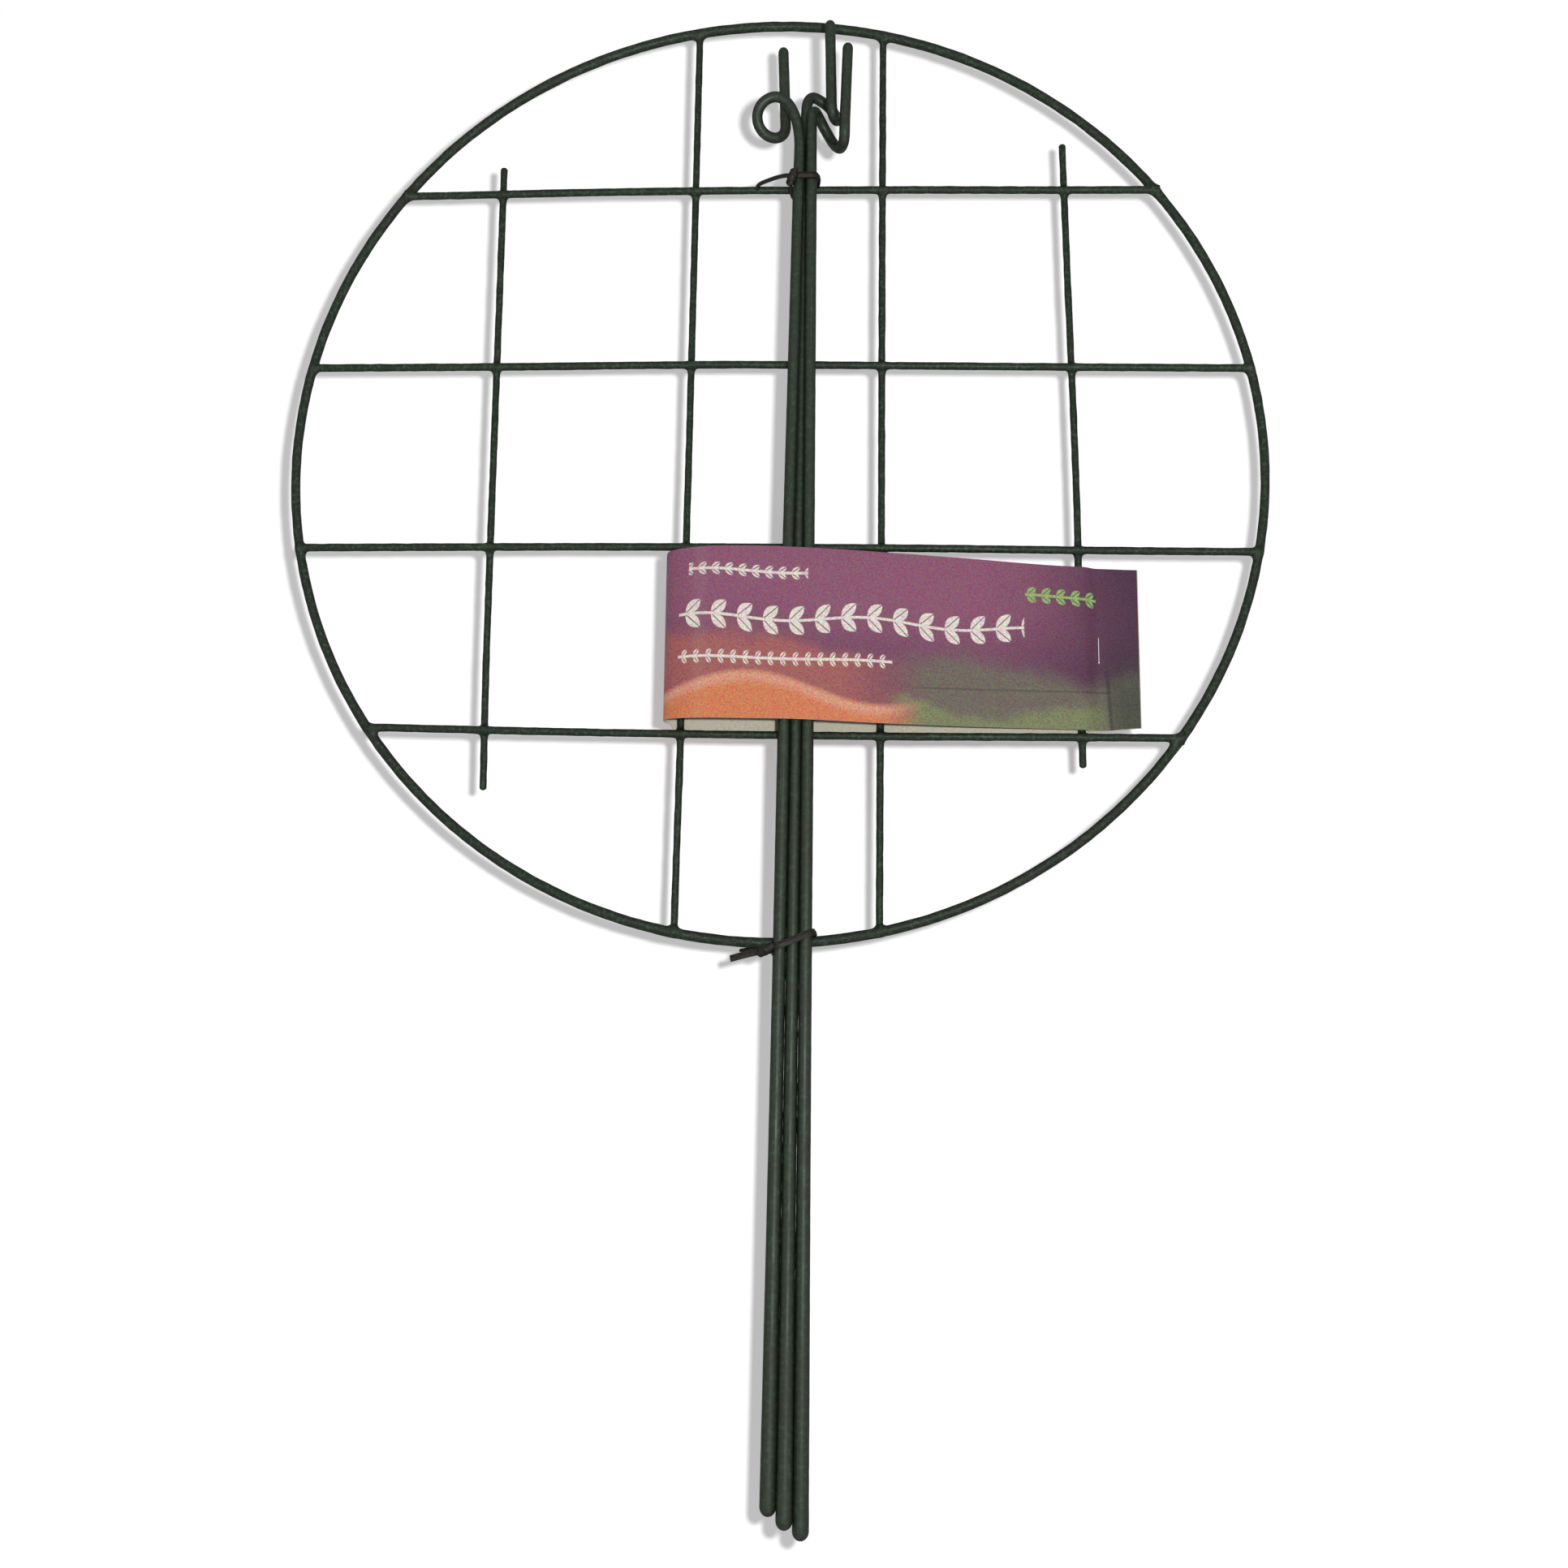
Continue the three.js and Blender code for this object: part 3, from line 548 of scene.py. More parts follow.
def rod_spots(name, share):
    """Points of a grid wire's middle line at shares of its length, with its slight bends."""
    first, second, _ = rods[name]
    spots = first + np.asarray(share)[:, None] * (second - first)
    main = int(np.argmax(np.abs(second - first)))
    spots[:, 1 - main] += soft_interp(spots[:, main], *np.array(strays[name]).T, bend_reach)
    return spots


for name, marks in strays.items():
    print(name, "strays by up to %.1f mm" % max(abs(aside) for _, aside in marks))

# %% [markdown]
# A point lies on the coating where its distance to the wires is just their radius. Near a weld two wires
# are near, and the smaller of the two distances, taken softly, lets the skin of each wire swell towards the
# other: that is the hollow fillet. The unevenness is a noise of a few millimetres, a tenth of a millimetre
# deep.

# %% Distance to the wires and steps along them
FAR = 99.0
end_inset = 1.9
joint_zone = 4.2


def off_rod(name, spots):
    """How far each of the spots lies outside a wire of the grid."""
    if name == "hoop":
        flat = np.hypot(spots[:, 0] - hoop_mid[0], spots[:, 1] - hoop_mid[1]) - hoop_radius
        return np.hypot(flat, spots[:, 2] - hoop_mid[2]) - hoop_wire
    first, second, radius = rods[name]
    run = second - first
    held_back = 0 if name.startswith("short") else end_inset / np.linalg.norm(run)
    share = np.clip((spots - first) @ run / (run @ run), held_back, 1 - held_back)
    return np.linalg.norm(spots - rod_spots(name, share), axis=1) - radius


def nearest_other(spots, others):
    return np.min([off_rod(other, spots) for other in others], axis=0) if others else np.full(len(spots), FAR)


def lengths_along(line):
    """How far along a line each of its points lies."""
    return np.concatenate(([0], np.cumsum(np.linalg.norm(np.diff(line, axis=0), axis=1))))


def between_marks(where, marks, rows):
    """The rows, one for each mark, read off at other places."""
    return np.stack([np.interp(where, marks, column) for column in rows.T], axis=-1)


def stations(line, others, radius, fine=0.42, coarse=1.7, finest=0.2):
    """Steps along a line: fine ones near another wire, coarse ones elsewhere."""
    marks = lengths_along(line)
    dense = np.linspace(0, marks[-1], int(marks[-1] / finest) + 2)
    spots = between_marks(dense, marks, line)
    near = nearest_other(spots, others) - radius < joint_zone
    kept, last = [0], 0
    for i in range(1, len(dense) - 1):
        if dense[i] - dense[last] >= (fine if near[i] else coarse):
            kept.append(i)
            last = i
    return spots[kept + [len(dense) - 1]]


print("middle of the ring: %.1f mm to the nearest wire" % nearest_other(hoop_mid[None], straight_wires)[0])

# %% Skin of a wire
fillet_reach = 2.7
fillet_most = 1.5
fillet_rounds = 7
uneven = ((5.0, 0.13), (1.9, 0.06))
dome_angles = (0.3, 0.6, 0.9, 1.15, 1.35, 1.5)


def softly_least(first, second, reach):
    share = np.clip(0.5 + 0.5 * (second - first) / reach, 0, 1)
    return second * (1 - share) + first * share - reach * share * (1 - share)


def wire_shell(line, radii, sides, others=(), closed=False, end_round=1.0, bumps=1.0):
    """Corners and faces of a wire along its middle line, with fillets, unevenness and rounded ends."""
    line = np.array(line, dtype=float)
    ahead, behind = np.roll(line, -1, axis=0), np.roll(line, 1, axis=0)
    if not closed:
        ahead[-1], behind[0] = line[-1], line[0]
    headings = ahead - behind
    headings /= np.linalg.norm(headings, axis=1)[:, None]
    up = np.array((0.0, 0.0, 1.0))
    angles = np.linspace(0, 2 * math.pi, sides, endpoint=False)
    rings = []
    for i in range(len(line)):
        up = unit(up - (up @ headings[i]) * headings[i])
        across = np.cross(headings[i], up)
        outward = np.cos(angles)[:, None] * across + np.sin(angles)[:, None] * up
        reach = np.full(sides, float(radii[i]))
        if others and nearest_other(line[i:i + 1], others)[0] - radii[i] < joint_zone:
            for _ in range(fillet_rounds):
                spots = line[i] + outward * reach[:, None]
                least = reach - radii[i]
                for other in others:
                    least = softly_least(least, off_rod(other, spots), fillet_reach)
                reach = np.clip(reach - least, radii[i], radii[i] + fillet_most)
        spots = line[i] + outward * reach[:, None]
        for size, depth in uneven:
            reach = reach + [bumps * depth * noise.noise(Vector(spot / size)) for spot in spots]
        rings.append(line[i] + outward * reach[:, None])
    if not closed:
        for end, ring, heading in ((0, rings[0], -headings[0]), (-1, rings[-1], headings[-1])):
            middle = ring.mean(axis=0)
            dome = [middle + (ring - middle) * math.cos(a) + heading * radii[end] * end_round * math.sin(a)
                    for a in dome_angles]
            rings = rings + dome if end else dome[::-1] + rings
    return [Vector(corner) for ring in rings for corner in ring], tube_faces(len(rings), sides, closed)


print("fillets of %.1f mm at most, coating uneven by %.2f mm" % (fillet_most, uneven[0][1]))

# %% The grid
grid_names = ["hoop"] + straight_wires
free_ends = [name for name in straight_wires if name.startswith("short")]
grid_swell = 0.08
hoop_inset = 0.08
hoop_sides, wire_sides = 18, 16
free_round, welded_round = 0.8, 0.01
circle_steps, rod_steps = 1440, 200
turns = np.linspace(0, 2 * math.pi, circle_steps)
hoop_swell = 0.06 + 0.2 * np.sin(turns) ** 2
circle = np.stack((np.cos(turns), np.sin(turns), 0 * turns), axis=1)
circle = hoop_mid + circle * (hoop_radius - hoop_swell - hoop_inset)[:, None]
for name in grid_names:
    others = [other for other in grid_names if other != name]
    if name == "hoop":
        line = stations(circle, others, hoop_wire)[:-1]
        angles = np.arctan2(line[:, 1] - hoop_mid[1], line[:, 0] - hoop_mid[0]) % (2 * math.pi)
        radii = hoop_wire + np.interp(angles, turns, hoop_swell)
        shell = wire_shell(line, radii, hoop_sides, others, closed=True)
    else:
        first, second, radius = rods[name]
        line = stations(rod_spots(name, np.linspace(0, 1, rod_steps)), others, radius)
        rounding = free_round if name in free_ends else welded_round
        if name in free_ends:
            line[0] += unit(second - first) * radius * rounding
            line[-1] -= unit(second - first) * radius * rounding
        shell = wire_shell(line, [radius + grid_swell] * len(line), wire_sides, others, end_round=rounding)
    piece = make_piece("coated_" + name, [shell], grid_coating, body_of[name], [name])
    print(piece.name, len(piece.data.polygons), "faces")

# %% [markdown]
# The stakes are thick wire, cut off and rounded at both ends. In their bundle they lie against each other,
# while the frame's rods keep a gap so that they can slide. So each is drawn a little thicker, and towards
# the feet as thick as it takes to touch its neighbour.

# %% The stakes
stake_swell = 0.13
pigtail_swell = 0.0
swell_fades = (-2, 14)
touch_overlap = -0.01
touch_most = 0.6
touch_fades = (-20, 0)
foot_rounding = 1.1
tip_rounding = 1.0
tip_steps = 14
line_rounds, radius_rounds = 5, 12
stake_sides = 20
stake_bumps = 0.4
below_pigtails = 200
least_step = 0.3
bend_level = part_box("cross_wire_1")[1].y / MM


def softened(values, rounds):
    values = np.array(values, dtype=float)
    for _ in range(rounds):
        values[1:-1] = (values[:-2] + 2 * values[1:-1] + values[2:]) / 4
    return values


def trimmed(line, length):
    """The line without its first stretch of the given length."""
    marks = lengths_along(line)
    return np.concatenate(([between_marks(length, marks, line)], line[marks > length + least_step]))


def half_way_to_next(name, spots):
    """Half the distance from each spot to the nearest other stake at the same level."""
    least = np.full(len(spots), FAR)
    for other in stakes:
        if other != name:
            path = np.array(followed[other][0])
            path = path[:np.argmax(path[:, 1] > below_pigtails)]
            level = between_marks(spots[:, 1], path[:, 1], path[:, [0, 2]])
            least = np.minimum(least, np.linalg.norm(level - spots[:, [0, 2]], axis=1))
    return least / 2


for name in stakes:
    line, radii = followed[name]
    radii[-tip_steps:] = [radii[-tip_steps - 1]] * tip_steps
    line, radii = softened(line, line_rounds), softened(radii, radius_rounds)
    reached = lengths_along(line)
    past_bend = reached - reached[np.argmax(line[:, 1] > bend_level)]
    radii += np.interp(past_bend, swell_fades, (stake_swell, pigtail_swell))
    touching = np.clip(half_way_to_next(name, line) + touch_overlap, radii, radii + touch_most)
    radii += (touching - radii) * np.interp(line[:, 1], touch_fades, (1, 0))
    foot_radius, tip_radius = radii[0], radii[-1]
    cut_line = trimmed(line, foot_radius * foot_rounding)
    cut_line = trimmed(cut_line[::-1], tip_radius * tip_rounding)[::-1]
    radii = np.array([radii[np.argmin(np.linalg.norm(line - spot, axis=1))] for spot in cut_line])
    bent = cut_line[:, 1] > bend_level
    kept = [i for i in range(len(cut_line)) if bent[i] or i % 2 == 0 or i == len(cut_line) - 1]
    shell = wire_shell(cut_line[kept], radii[kept], stake_sides, end_round=foot_rounding, bumps=stake_bumps)
    piece = make_piece("coated_" + name, [shell], stake_coating, body_of[name], [name])
    print(piece.name, len(piece.data.polygons), "faces")

# %% [markdown]
# The sleeve is one strip of printed card. It lies behind the grid, turns round the left long wire in a soft
# fold, arches over the stakes and comes down to the right, where a staple joins the two layers.
# A solid box would show none of that, so the strip is built as a fine net: its path in plan and height
# comes from the frame's card and stakes, and its top and bottom edges bow a little, as card does that is
# bent two ways. The staple pinches the front into a low ridge, and a long crease runs along its lower edge.

# %% Path of the card
card_thick = 0.4
card_low, card_high = [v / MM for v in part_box("card_sleeve")]
off_wire, off_end = 0.3, 0.05
short_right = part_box("short_wire_right")[1].x / MM + off_wire
stakes_right = 15.7
fold_left = card_low.x + card_thick / 2
under_reach, over_reach = 4.9, 20.6
fold_under = fold_left + under_reach
fold_over = fold_left + over_reach
fold_height = 5.2
back_z = card_thick / 2
crest_z = card_high.z - card_thick / 2
over_short_z = 4.3
tail_back_z = 1.5
tail_front_z = 2.2
ramp = 3.4
front_ramp = 6.2
column_step = 1.1
tail_step = 0.7
under_steps, over_steps = 14, 28
back_ramp_steps, front_ramp_steps = 6, 9
row_count = 72
# The edges of both layers run straight between these places (x, y) and turn within the reach beside them
edge_reach = 5
front_top = (
    (-46, 69.5), (-42.8, 69.75), (-36.7, 69.65), (-28.3, 70.05), (-18.6, 70.3), (-2, 70.1), (14.5, 69.3),
    (46, 68.0), (81, 66.7), (114, 65.0), (133, 64.5), (148, 63.9))
front_bottom = (
    (-46, -0.8), (-43, -1.15), (-37, -1.5), (-29, -1.65), (2, -1.95), (42, -3.3), (72, -3.55), (109, -3.6),
    (131, -3.8), (138, -3.4), (148, -2.3))
back_top = ((-46, 68.2), (148, 64.2))
back_bottom = ((-46, -5.0), (127, -5.0), (132, -3.8), (148, -2.3))


def eased(share):
    return (1 - math.cos(share * math.pi)) / 2


def spread(start, stop, step=column_step):
    count = max(1, round(abs(stop - start) / step))
    return [start + (stop - start) * i / count for i in range(count)]


def sloped(start, stop, z_start, z_stop, front, steps):
    shares = [i / steps for i in range(steps)]
    return [(start + (stop - start) * share, z_start + (z_stop - z_start) * eased(share), front)
            for share in shares]


def card_path():
    """Points (x, z, share of front) from the stapled end behind, round the fold, to the one in front."""
    end = card_high.x - off_end
    line = [(x, tail_back_z, 0) for x in spread(end, short_right + ramp)]
    line += sloped(short_right + ramp, short_right, tail_back_z, back_z, 0, back_ramp_steps)
    line += [(x, back_z, 0) for x in spread(short_right, fold_under)]
    for i in range(under_steps):
        angle = i / under_steps * math.pi / 2
        x = fold_left + (fold_under - fold_left) * (1 - math.sin(angle))
        line.append((x, back_z + fold_height * (1 - math.cos(angle)), i / under_steps / 2))
    for i in range(over_steps):
        angle = i / over_steps * math.pi / 2
        x = fold_left + (fold_over - fold_left) * (1 - math.cos(angle))
        rise = (crest_z - back_z - fold_height) * math.sin(angle)
        line.append((x, back_z + fold_height + rise, (1 + i / over_steps) / 2))
    line += [(x, crest_z, 1) for x in spread(fold_over, stakes_right)]
    for x in spread(stakes_right, short_right):
        share = (x - stakes_right) / (short_right - stakes_right)
        fall = share - math.sin(share * math.pi * 2) / (math.pi * 6)
        line.append((x, crest_z + (over_short_z - crest_z) * fall, 1))
    line += sloped(short_right, short_right + front_ramp, over_short_z, tail_front_z, 1, front_ramp_steps)
    line += [(x, tail_front_z, 1) for x in spread(short_right + front_ramp, end - card_thick, tail_step)]
    return line + [(end - card_thick, tail_front_z, 1)]


path = card_path()
print("card path:", len(path), "columns")

# %% Waves and creases of the card
wave_lengths = (34, 27)
back_wave, front_wave = 0.09, 0.13
pinch_at, pinch_slope = (134.3, 22), 0.06
pinch_fades = (4, 34)
groove_depth, groove_width = 0.16, 0.8
ridge_height, ridge_width, ridge_off = 0.55, 2.0, 3.6
crease_at, crease_slope = (50, 12.4), 0.016
crease_height, crease_width = 0.12, 0.9
crease_fades = ((46, 66), (136, 142))
staple_legs = ((131.1, 24.3), (131.1, 34.8))
dent_depth, dent_widths = 0.1, (1.6, 2.2)


def bump_at(distance, width):
    return math.exp(-(distance / width) ** 2)


def share_between(value, start, stop):
    """0 at the start, 1 at the stop, and straight between them."""
    return min(max((value - start) / (stop - start), 0), 1)


def card_relief(x, y, front):
    """How far the card stands out of its plain shape: waves, a pinch, a long crease and staple dents."""
    wave = noise.noise(Vector((x / wave_lengths[0], y / wave_lengths[1], 3.7 + front)))
    if front < 1:
        return -back_wave * (wave + 1) * (1 - front)
    off_pinch = x - pinch_at[0] + pinch_slope * (y - pinch_at[1])
    pinched = share_between(y, pinch_fades[1], pinch_fades[0])
    off_crease = y - crease_at[1] - crease_slope * (x - crease_at[0])
    creased = share_between(x, *crease_fades[0]) * share_between(x, *reversed(crease_fades[1]))
    lift = front_wave * wave
    lift -= groove_depth * pinched * bump_at(off_pinch, groove_width)
    lift += ridge_height * pinched * bump_at(off_pinch - ridge_off, ridge_width)
    lift += crease_height * creased * bump_at(off_crease, crease_width)
    for leg_x, leg_y in staple_legs:
        lift -= dent_depth * bump_at(x - leg_x, dent_widths[0]) * bump_at(y - leg_y, dent_widths[1])
    return lift


ridge_x = pinch_at[0] + pinch_slope * pinch_at[1] + ridge_off
print("ridge beside the staple: %.2f mm high at the lower edge" % card_relief(ridge_x, 0, 1))

# %% Net of the card


def soft_line(points, x):
    return float(soft_interp(x, *zip(*points), edge_reach))


def card_net():
    """Corners of the outer and the inner face by column and row, and each column's place along the strip."""
    outer, inner, places = [], [], []
    travelled = 0
    fold_place = 0
    for i, (x, z, front) in enumerate(path):
        before, after = path[max(i - 1, 0)], path[min(i + 1, len(path) - 1)]
        along = Vector((after[0] - before[0], 0, after[1] - before[1])).normalized()
        out = Vector((-along.z, 0, along.x))
        if i:
            travelled += math.hypot(x - before[0], z - before[1])
        if abs(front - 0.5) < 0.01:
            fold_place = travelled
        places.append(travelled)
        top_share = eased(share_between(front, 0.5, 0.6))
        top = soft_line(back_top, x) * (1 - top_share) + soft_line(front_top, x) * top_share
        bottom_share = eased(share_between(front, 0, 0.2))
        bottom = soft_line(back_bottom, x) * (1 - bottom_share) + soft_line(front_bottom, x) * bottom_share
        for row in range(row_count + 1):
            y = bottom + (top - bottom) * row / row_count
            point = Vector((x, y, z)) + out * card_relief(x, y, front)
            outer.append(point + out * card_thick / 2)
            inner.append(point - out * card_thick / 2)
    return outer, inner, [place - fold_place for place in places]


outer, inner, places = card_net()
strip_behind, strip_front = -places[0], places[-1]
print("strip: %.0f mm behind the fold and %.0f mm in front" % (strip_behind, strip_front))

# %% [markdown]
# The print is worked out in millimetres along the strip from the fold and up from the lower edge, so it
# runs round the fold as real print does. The design here is a plain garden pattern: a mauve sky, soft
# orange and green hills, and cream garlands of leaves. Hills and leaf rows are node groups, because the
# print has several of each with other values. The grain is one too, so that its noise stays apart from the
# inks. A leaf is the space between two arcs that leans away from its stem, and it repeats along the row by
# taking the remainder of the place; the stem mirrors it, so one leaf gives a pair.

# %% Node groups for the print
leaf_group, node, given, out = new_group(
    "leaf_row",
    ("Along", "Up", "Height", "Pitch", "Leaf", "Width", "Lean", "Swing", "Start", "Stop"), ("Mask",))
along, up, height, pitch, leaf_length, width, lean, swing, start, stop = given
off_stem = abs(up - height - maths("SINE", along / 11.0) * swing)
step_in = (maths("FRACT", along / pitch) - 0.15) * pitch
lean_cos, lean_sin = maths("COSINE", lean), maths("SINE", lean)
along_leaf = step_in * lean_cos + off_stem * lean_sin
across_leaf = abs(off_stem * lean_cos - step_in * lean_sin)
half_leaf = leaf_length * 0.5
from_middle = (along_leaf - half_leaf) / half_leaf
belly = (1.0 - from_middle * from_middle) * width
leaf = ramped(belly - across_leaf, 0.0, 0.35) * ramped(across_leaf, 0.08, 0.32)
stem = ramped(off_stem, 0.75, 0.35)
window = ramped(along, start, start + 0.5) * ramped(along, stop, stop - 0.5)
feed(out["Mask"], maths("MAXIMUM", leaf, stem) * window)

hill_group, node, given, out = new_group(
    "soft_hill", ("Along", "Up", "Height", "Swing", "Length", "Shift", "Blur", "Start", "Stop", "Fade"),
    ("Mask", "Crest"))
along, up, height, swing, length, shift, blur, start, stop, fade = given
under = height + maths("SINE", along / length + shift) * swing - up
window = ramped(along, start - fade, start) * ramped(along, stop + fade, stop)
hill = ramped(under, blur * -1.0, blur) * window
feed(out["Mask"], hill)
feed(out["Crest"], hill * ramped(under, blur * 4.0, blur))

grain_group, node, given, out = new_group(
    "print_grain", ("Colour", "Place", "Size", "Strength"), ("Colour", "Height"))
colour, place, size, strength = given
dots = node("TexNoise", {"Vector": place, "Scale": size, "Detail": 2.0, "Roughness": 0.75}, "Color")
parts = node("SeparateColor", {0: dots}, None)
tint = node("CombineColor", {name: (part - 0.5) * strength * 4.0 + 1.0 for name, part in parts.items()})
feed(out["Colour"], mixed(1.0, colour, tint, "MULTIPLY"))
feed(out["Height"], parts["Red"])
print("groups:", [group.name for group in (leaf_group, hill_group, grain_group)])

# %% [markdown]
# The printed face is laid down in layers, from the sky to the painted shade in the creases. Each layer is a
# mask and a colour; the first ones are inks, the last ones painted shade. Beside the staple's pinch, over the
# tail and along a long crease, a painted shade darkens the print where the card is bent, and a painted
# highlight makes it a little paler over the fold. The rims show a little bare card.

# %% Printed face of the card
strip_scale = 400.0
mauve = (0.275, 0.1, 0.17, 1)
plum = (0.15, 0.056, 0.11, 1)
dusk = (0.07, 0.03, 0.062, 1)
brick = (0.43, 0.14, 0.12, 1)
orange = (0.68, 0.22, 0.1, 1)
coral = (0.76, 0.44, 0.33, 1)
moss = (0.17, 0.155, 0.115, 1)
sage = (0.22, 0.25, 0.12, 1)
pine = (0.08, 0.09, 0.065, 1)
cream = (0.84, 0.78, 0.7, 1)
leaf_green = (0.3, 0.48, 0.16, 1)
bare_card = (0.6, 0.56, 0.45, 1)
# Dark colour of the painted shade in the pinch and along the long crease
painted_crease_shade = (0.025, 0.023, 0.022, 1)
pinch_mark, crease_mark = 185.2, 13.2

printed_card, node = new_material("printed_card_face")
strip = node("SeparateXYZ", {0: node("UVMap", uv_map="print_place")}, None)
along = maths("MULTIPLY_ADD", strip["X"], strip_scale, -strip_behind)
up = strip["Y"] * strip_scale
place = node("CombineXYZ", {"X": along, "Y": up})
cloudy = node("TexNoise", {"Vector": place, "Scale": 0.03, "Detail": 3.0, "Roughness": 0.55})
drift = maths("MULTIPLY_ADD", cloudy, 26.0, -13.0)
up_soft = up + drift

hill = partial(use_group, node, hill_group, along=along)
far = hill(
    up=up_soft, height=31.0, swing=5.0, length=24.0, shift=0.9, blur=5.0, start=-20.0, stop=70.0, fade=42.0)
near = hill(
    up=up, height=13.0, swing=6.0, length=17.0, shift=-0.6, blur=1.6, start=-20.0, stop=88.0, fade=22.0)
moor = hill(
    up=up_soft, height=25.0, swing=4.0, length=21.0, shift=2.2, blur=6.0, start=112.0, stop=260.0, fade=24.0)
meadow = hill(
    up=up_soft, height=7.0, swing=4.0, length=13.0, shift=0.4, blur=3.0, start=104.0, stop=176.0, fade=16.0)


def leaves(along=along, **values):
    return use_group(node, leaf_group, along=along, up=up, **values)["Mask"]


garland = leaves(height=41.0, pitch=10.5, leaf=8.6, width=2.5, lean=0.75, swing=1.5, start=9.0, stop=150.0)
spray = leaves(height=60.0, pitch=5.4, leaf=4.6, width=1.2, lean=0.6, swing=1.0, start=13.0, stop=62.0)
edging = leaves(height=24.5, pitch=5.0, leaf=3.8, width=1.1, lean=0.95, swing=0.5, start=9.0, stop=96.0)
sprig = leaves(height=56.0, pitch=6.0, leaf=5.2, width=1.6, lean=0.7, swing=0.6, start=150.0, stop=180.0)
behind = leaves(
    along * -1.0, height=35.0, pitch=10.5, leaf=8.6, width=2.5, lean=0.75, swing=1.5, start=20.0, stop=170.0)
print("patterns:", len(printed_card.node_tree.nodes), "nodes")

# %% Layers of ink, painted shade, wear and a painted highlight
past_pinch = along - maths("MULTIPLY_ADD", up, -pinch_slope, pinch_mark)
off_crease = abs(up - maths("MULTIPLY_ADD", along, crease_slope, crease_mark))
ink = plum
for share, colour in (
        (ramped(up_soft, 14.0, 52.0), mauve),
        (ramped(along + drift, 128.0, 205.0), dusk),
        (moor["Mask"] * 0.85, moss),
        (meadow["Mask"] * 0.8, sage),
        (ramped(along, 172.0, 200.0) * ramped(up, 34.0, 12.0), pine),
        (far["Mask"] * 0.8, brick),
        (near["Mask"], orange),
        (near["Crest"] * 0.55, coral),
        (maths("MAXIMUM", maths("MAXIMUM", garland, spray), edging) * 0.94, cream),
        (sprig, leaf_green),
        (behind * 0.85, cream),
        # Painted shade: the tail right of the pinch a little darker, a dark line along the pinch and one
        # along the long crease
        (ramped(past_pinch, -1.0, 2.0) * ramped(up, 46.0, 20.0) * 0.3, painted_crease_shade),
        (ramped(abs(past_pinch), 1.3, 0.2) * ramped(up, 32.0, 20.0) * 0.6, painted_crease_shade),
        (ramped(off_crease, 0.7, 0.1) * ramped(along, 97.0, 112.0) * ramped(past_pinch, 2.0, 0.0) * 0.4,
         painted_crease_shade)):
    ink = mixed(share, ink, colour)
grained = use_group(node, grain_group, colour=ink, place=place, size=1.7, strength=0.7)

scuffs = node("TexNoise", {"Vector": place, "Scale": 0.35, "Detail": 6.0, "Roughness": 0.7})
# A paler band over the fold is a painted highlight, mixed towards bare card; the bare lower rim is real wear
painted_fold_highlight = ramped(abs(along - 18.0), 5.0, 0.0) * 0.06
rim_wear = ramped(up, 0.7, 0.0) * ramped(scuffs, 0.5, 0.9)
worn_and_highlit = mixed(rim_wear, mixed(painted_fold_highlight, grained["Colour"], bare_card), bare_card)
dull = scaled(scuffs, 0.3, 0.7, 0.42, 0.58)
skin(node, {"Base Color": worn_and_highlit, "Roughness": dull, "Specular IOR Level": 0.16}, grained["Height"], 0.12)
print("printed face:", len(printed_card.node_tree.nodes), "nodes")

# %% [markdown]
# The inside of the card is bare grey-brown board. Its fibres are seen only as a fine mottle, so two noises
# serve.

# %% Bare side of the card
card_inside, node = new_material("bare_card_board")
place = node("TexCoord", give="Object")
fibre = node("TexNoise", {"Vector": place, "Scale": 1400.0, "Detail": 4.0, "Roughness": 0.7})
cloud = node("TexNoise", {"Vector": place, "Scale": 90.0, "Detail": 3.0})
tone = mixed(ramped(fibre, 0.35, 0.65), (0.5, 0.46, 0.36, 1), (0.66, 0.62, 0.5, 1))
tone = mixed(ramped(cloud, 0.4, 0.7), tone, (0.57, 0.55, 0.46, 1))
skin(node, {"Base Color": tone, "Roughness": 0.9, "Specular IOR Level": 0.2}, fibre, 0.25)
print("bare side:", len(card_inside.node_tree.nodes), "nodes")

# %% [markdown]
# The two faces of the net become one closed sheet with real edges: print outside, bare board inside and on
# the cut edges. It is built face by face, because every corner has to carry its place in the print.

# %% The card sleeve
print_height = 70
build = bmesh.new()
rows = row_count + 1
columns = len(path)
outside = [build.verts.new(point * MM) for point in outer]
inside = [build.verts.new(point * MM) for point in inner]
place_of = build.loops.layers.uv.new("print_place")


def add_quad(corners, marks, material):
    face = build.faces.new(corners)
    face.material_index = material
    face.smooth = True
    for loop, mark in zip(face.loops, marks):
        loop[place_of].uv = mark


for i in range(columns - 1):
    for j in range(row_count):
        spots = [(i, j), (i + 1, j), (i + 1, j + 1), (i, j + 1)]
        marks = [((places[a] + strip_behind) / strip_scale, print_height * b / row_count / strip_scale)
                 for a, b in spots]
        add_quad([outside[a * rows + b] for a, b in spots], marks, 0)
        add_quad([inside[a * rows + b] for a, b in reversed(spots)], marks, 1)
rim = [(i, 0) for i in range(columns)] + [(columns - 1, j) for j in range(1, rows)]
rim += [(i, row_count) for i in range(columns - 2, -1, -1)] + [(0, j) for j in range(row_count - 1, 0, -1)]
for (a, b), (c, d) in zip(rim, rim[1:] + rim[:1]):
    add_quad([outside[c * rows + d], outside[a * rows + b], inside[a * rows + b], inside[c * rows + d]],
             [(0, 0)] * 4, 1)
sleeve = new_mesh_object("printed_sleeve", build, [printed_card, card_inside])
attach(sleeve, "sleeve")
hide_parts("card_sleeve")
keep_edges(sleeve, 50)
print("card faces:", len(sleeve.data.polygons))

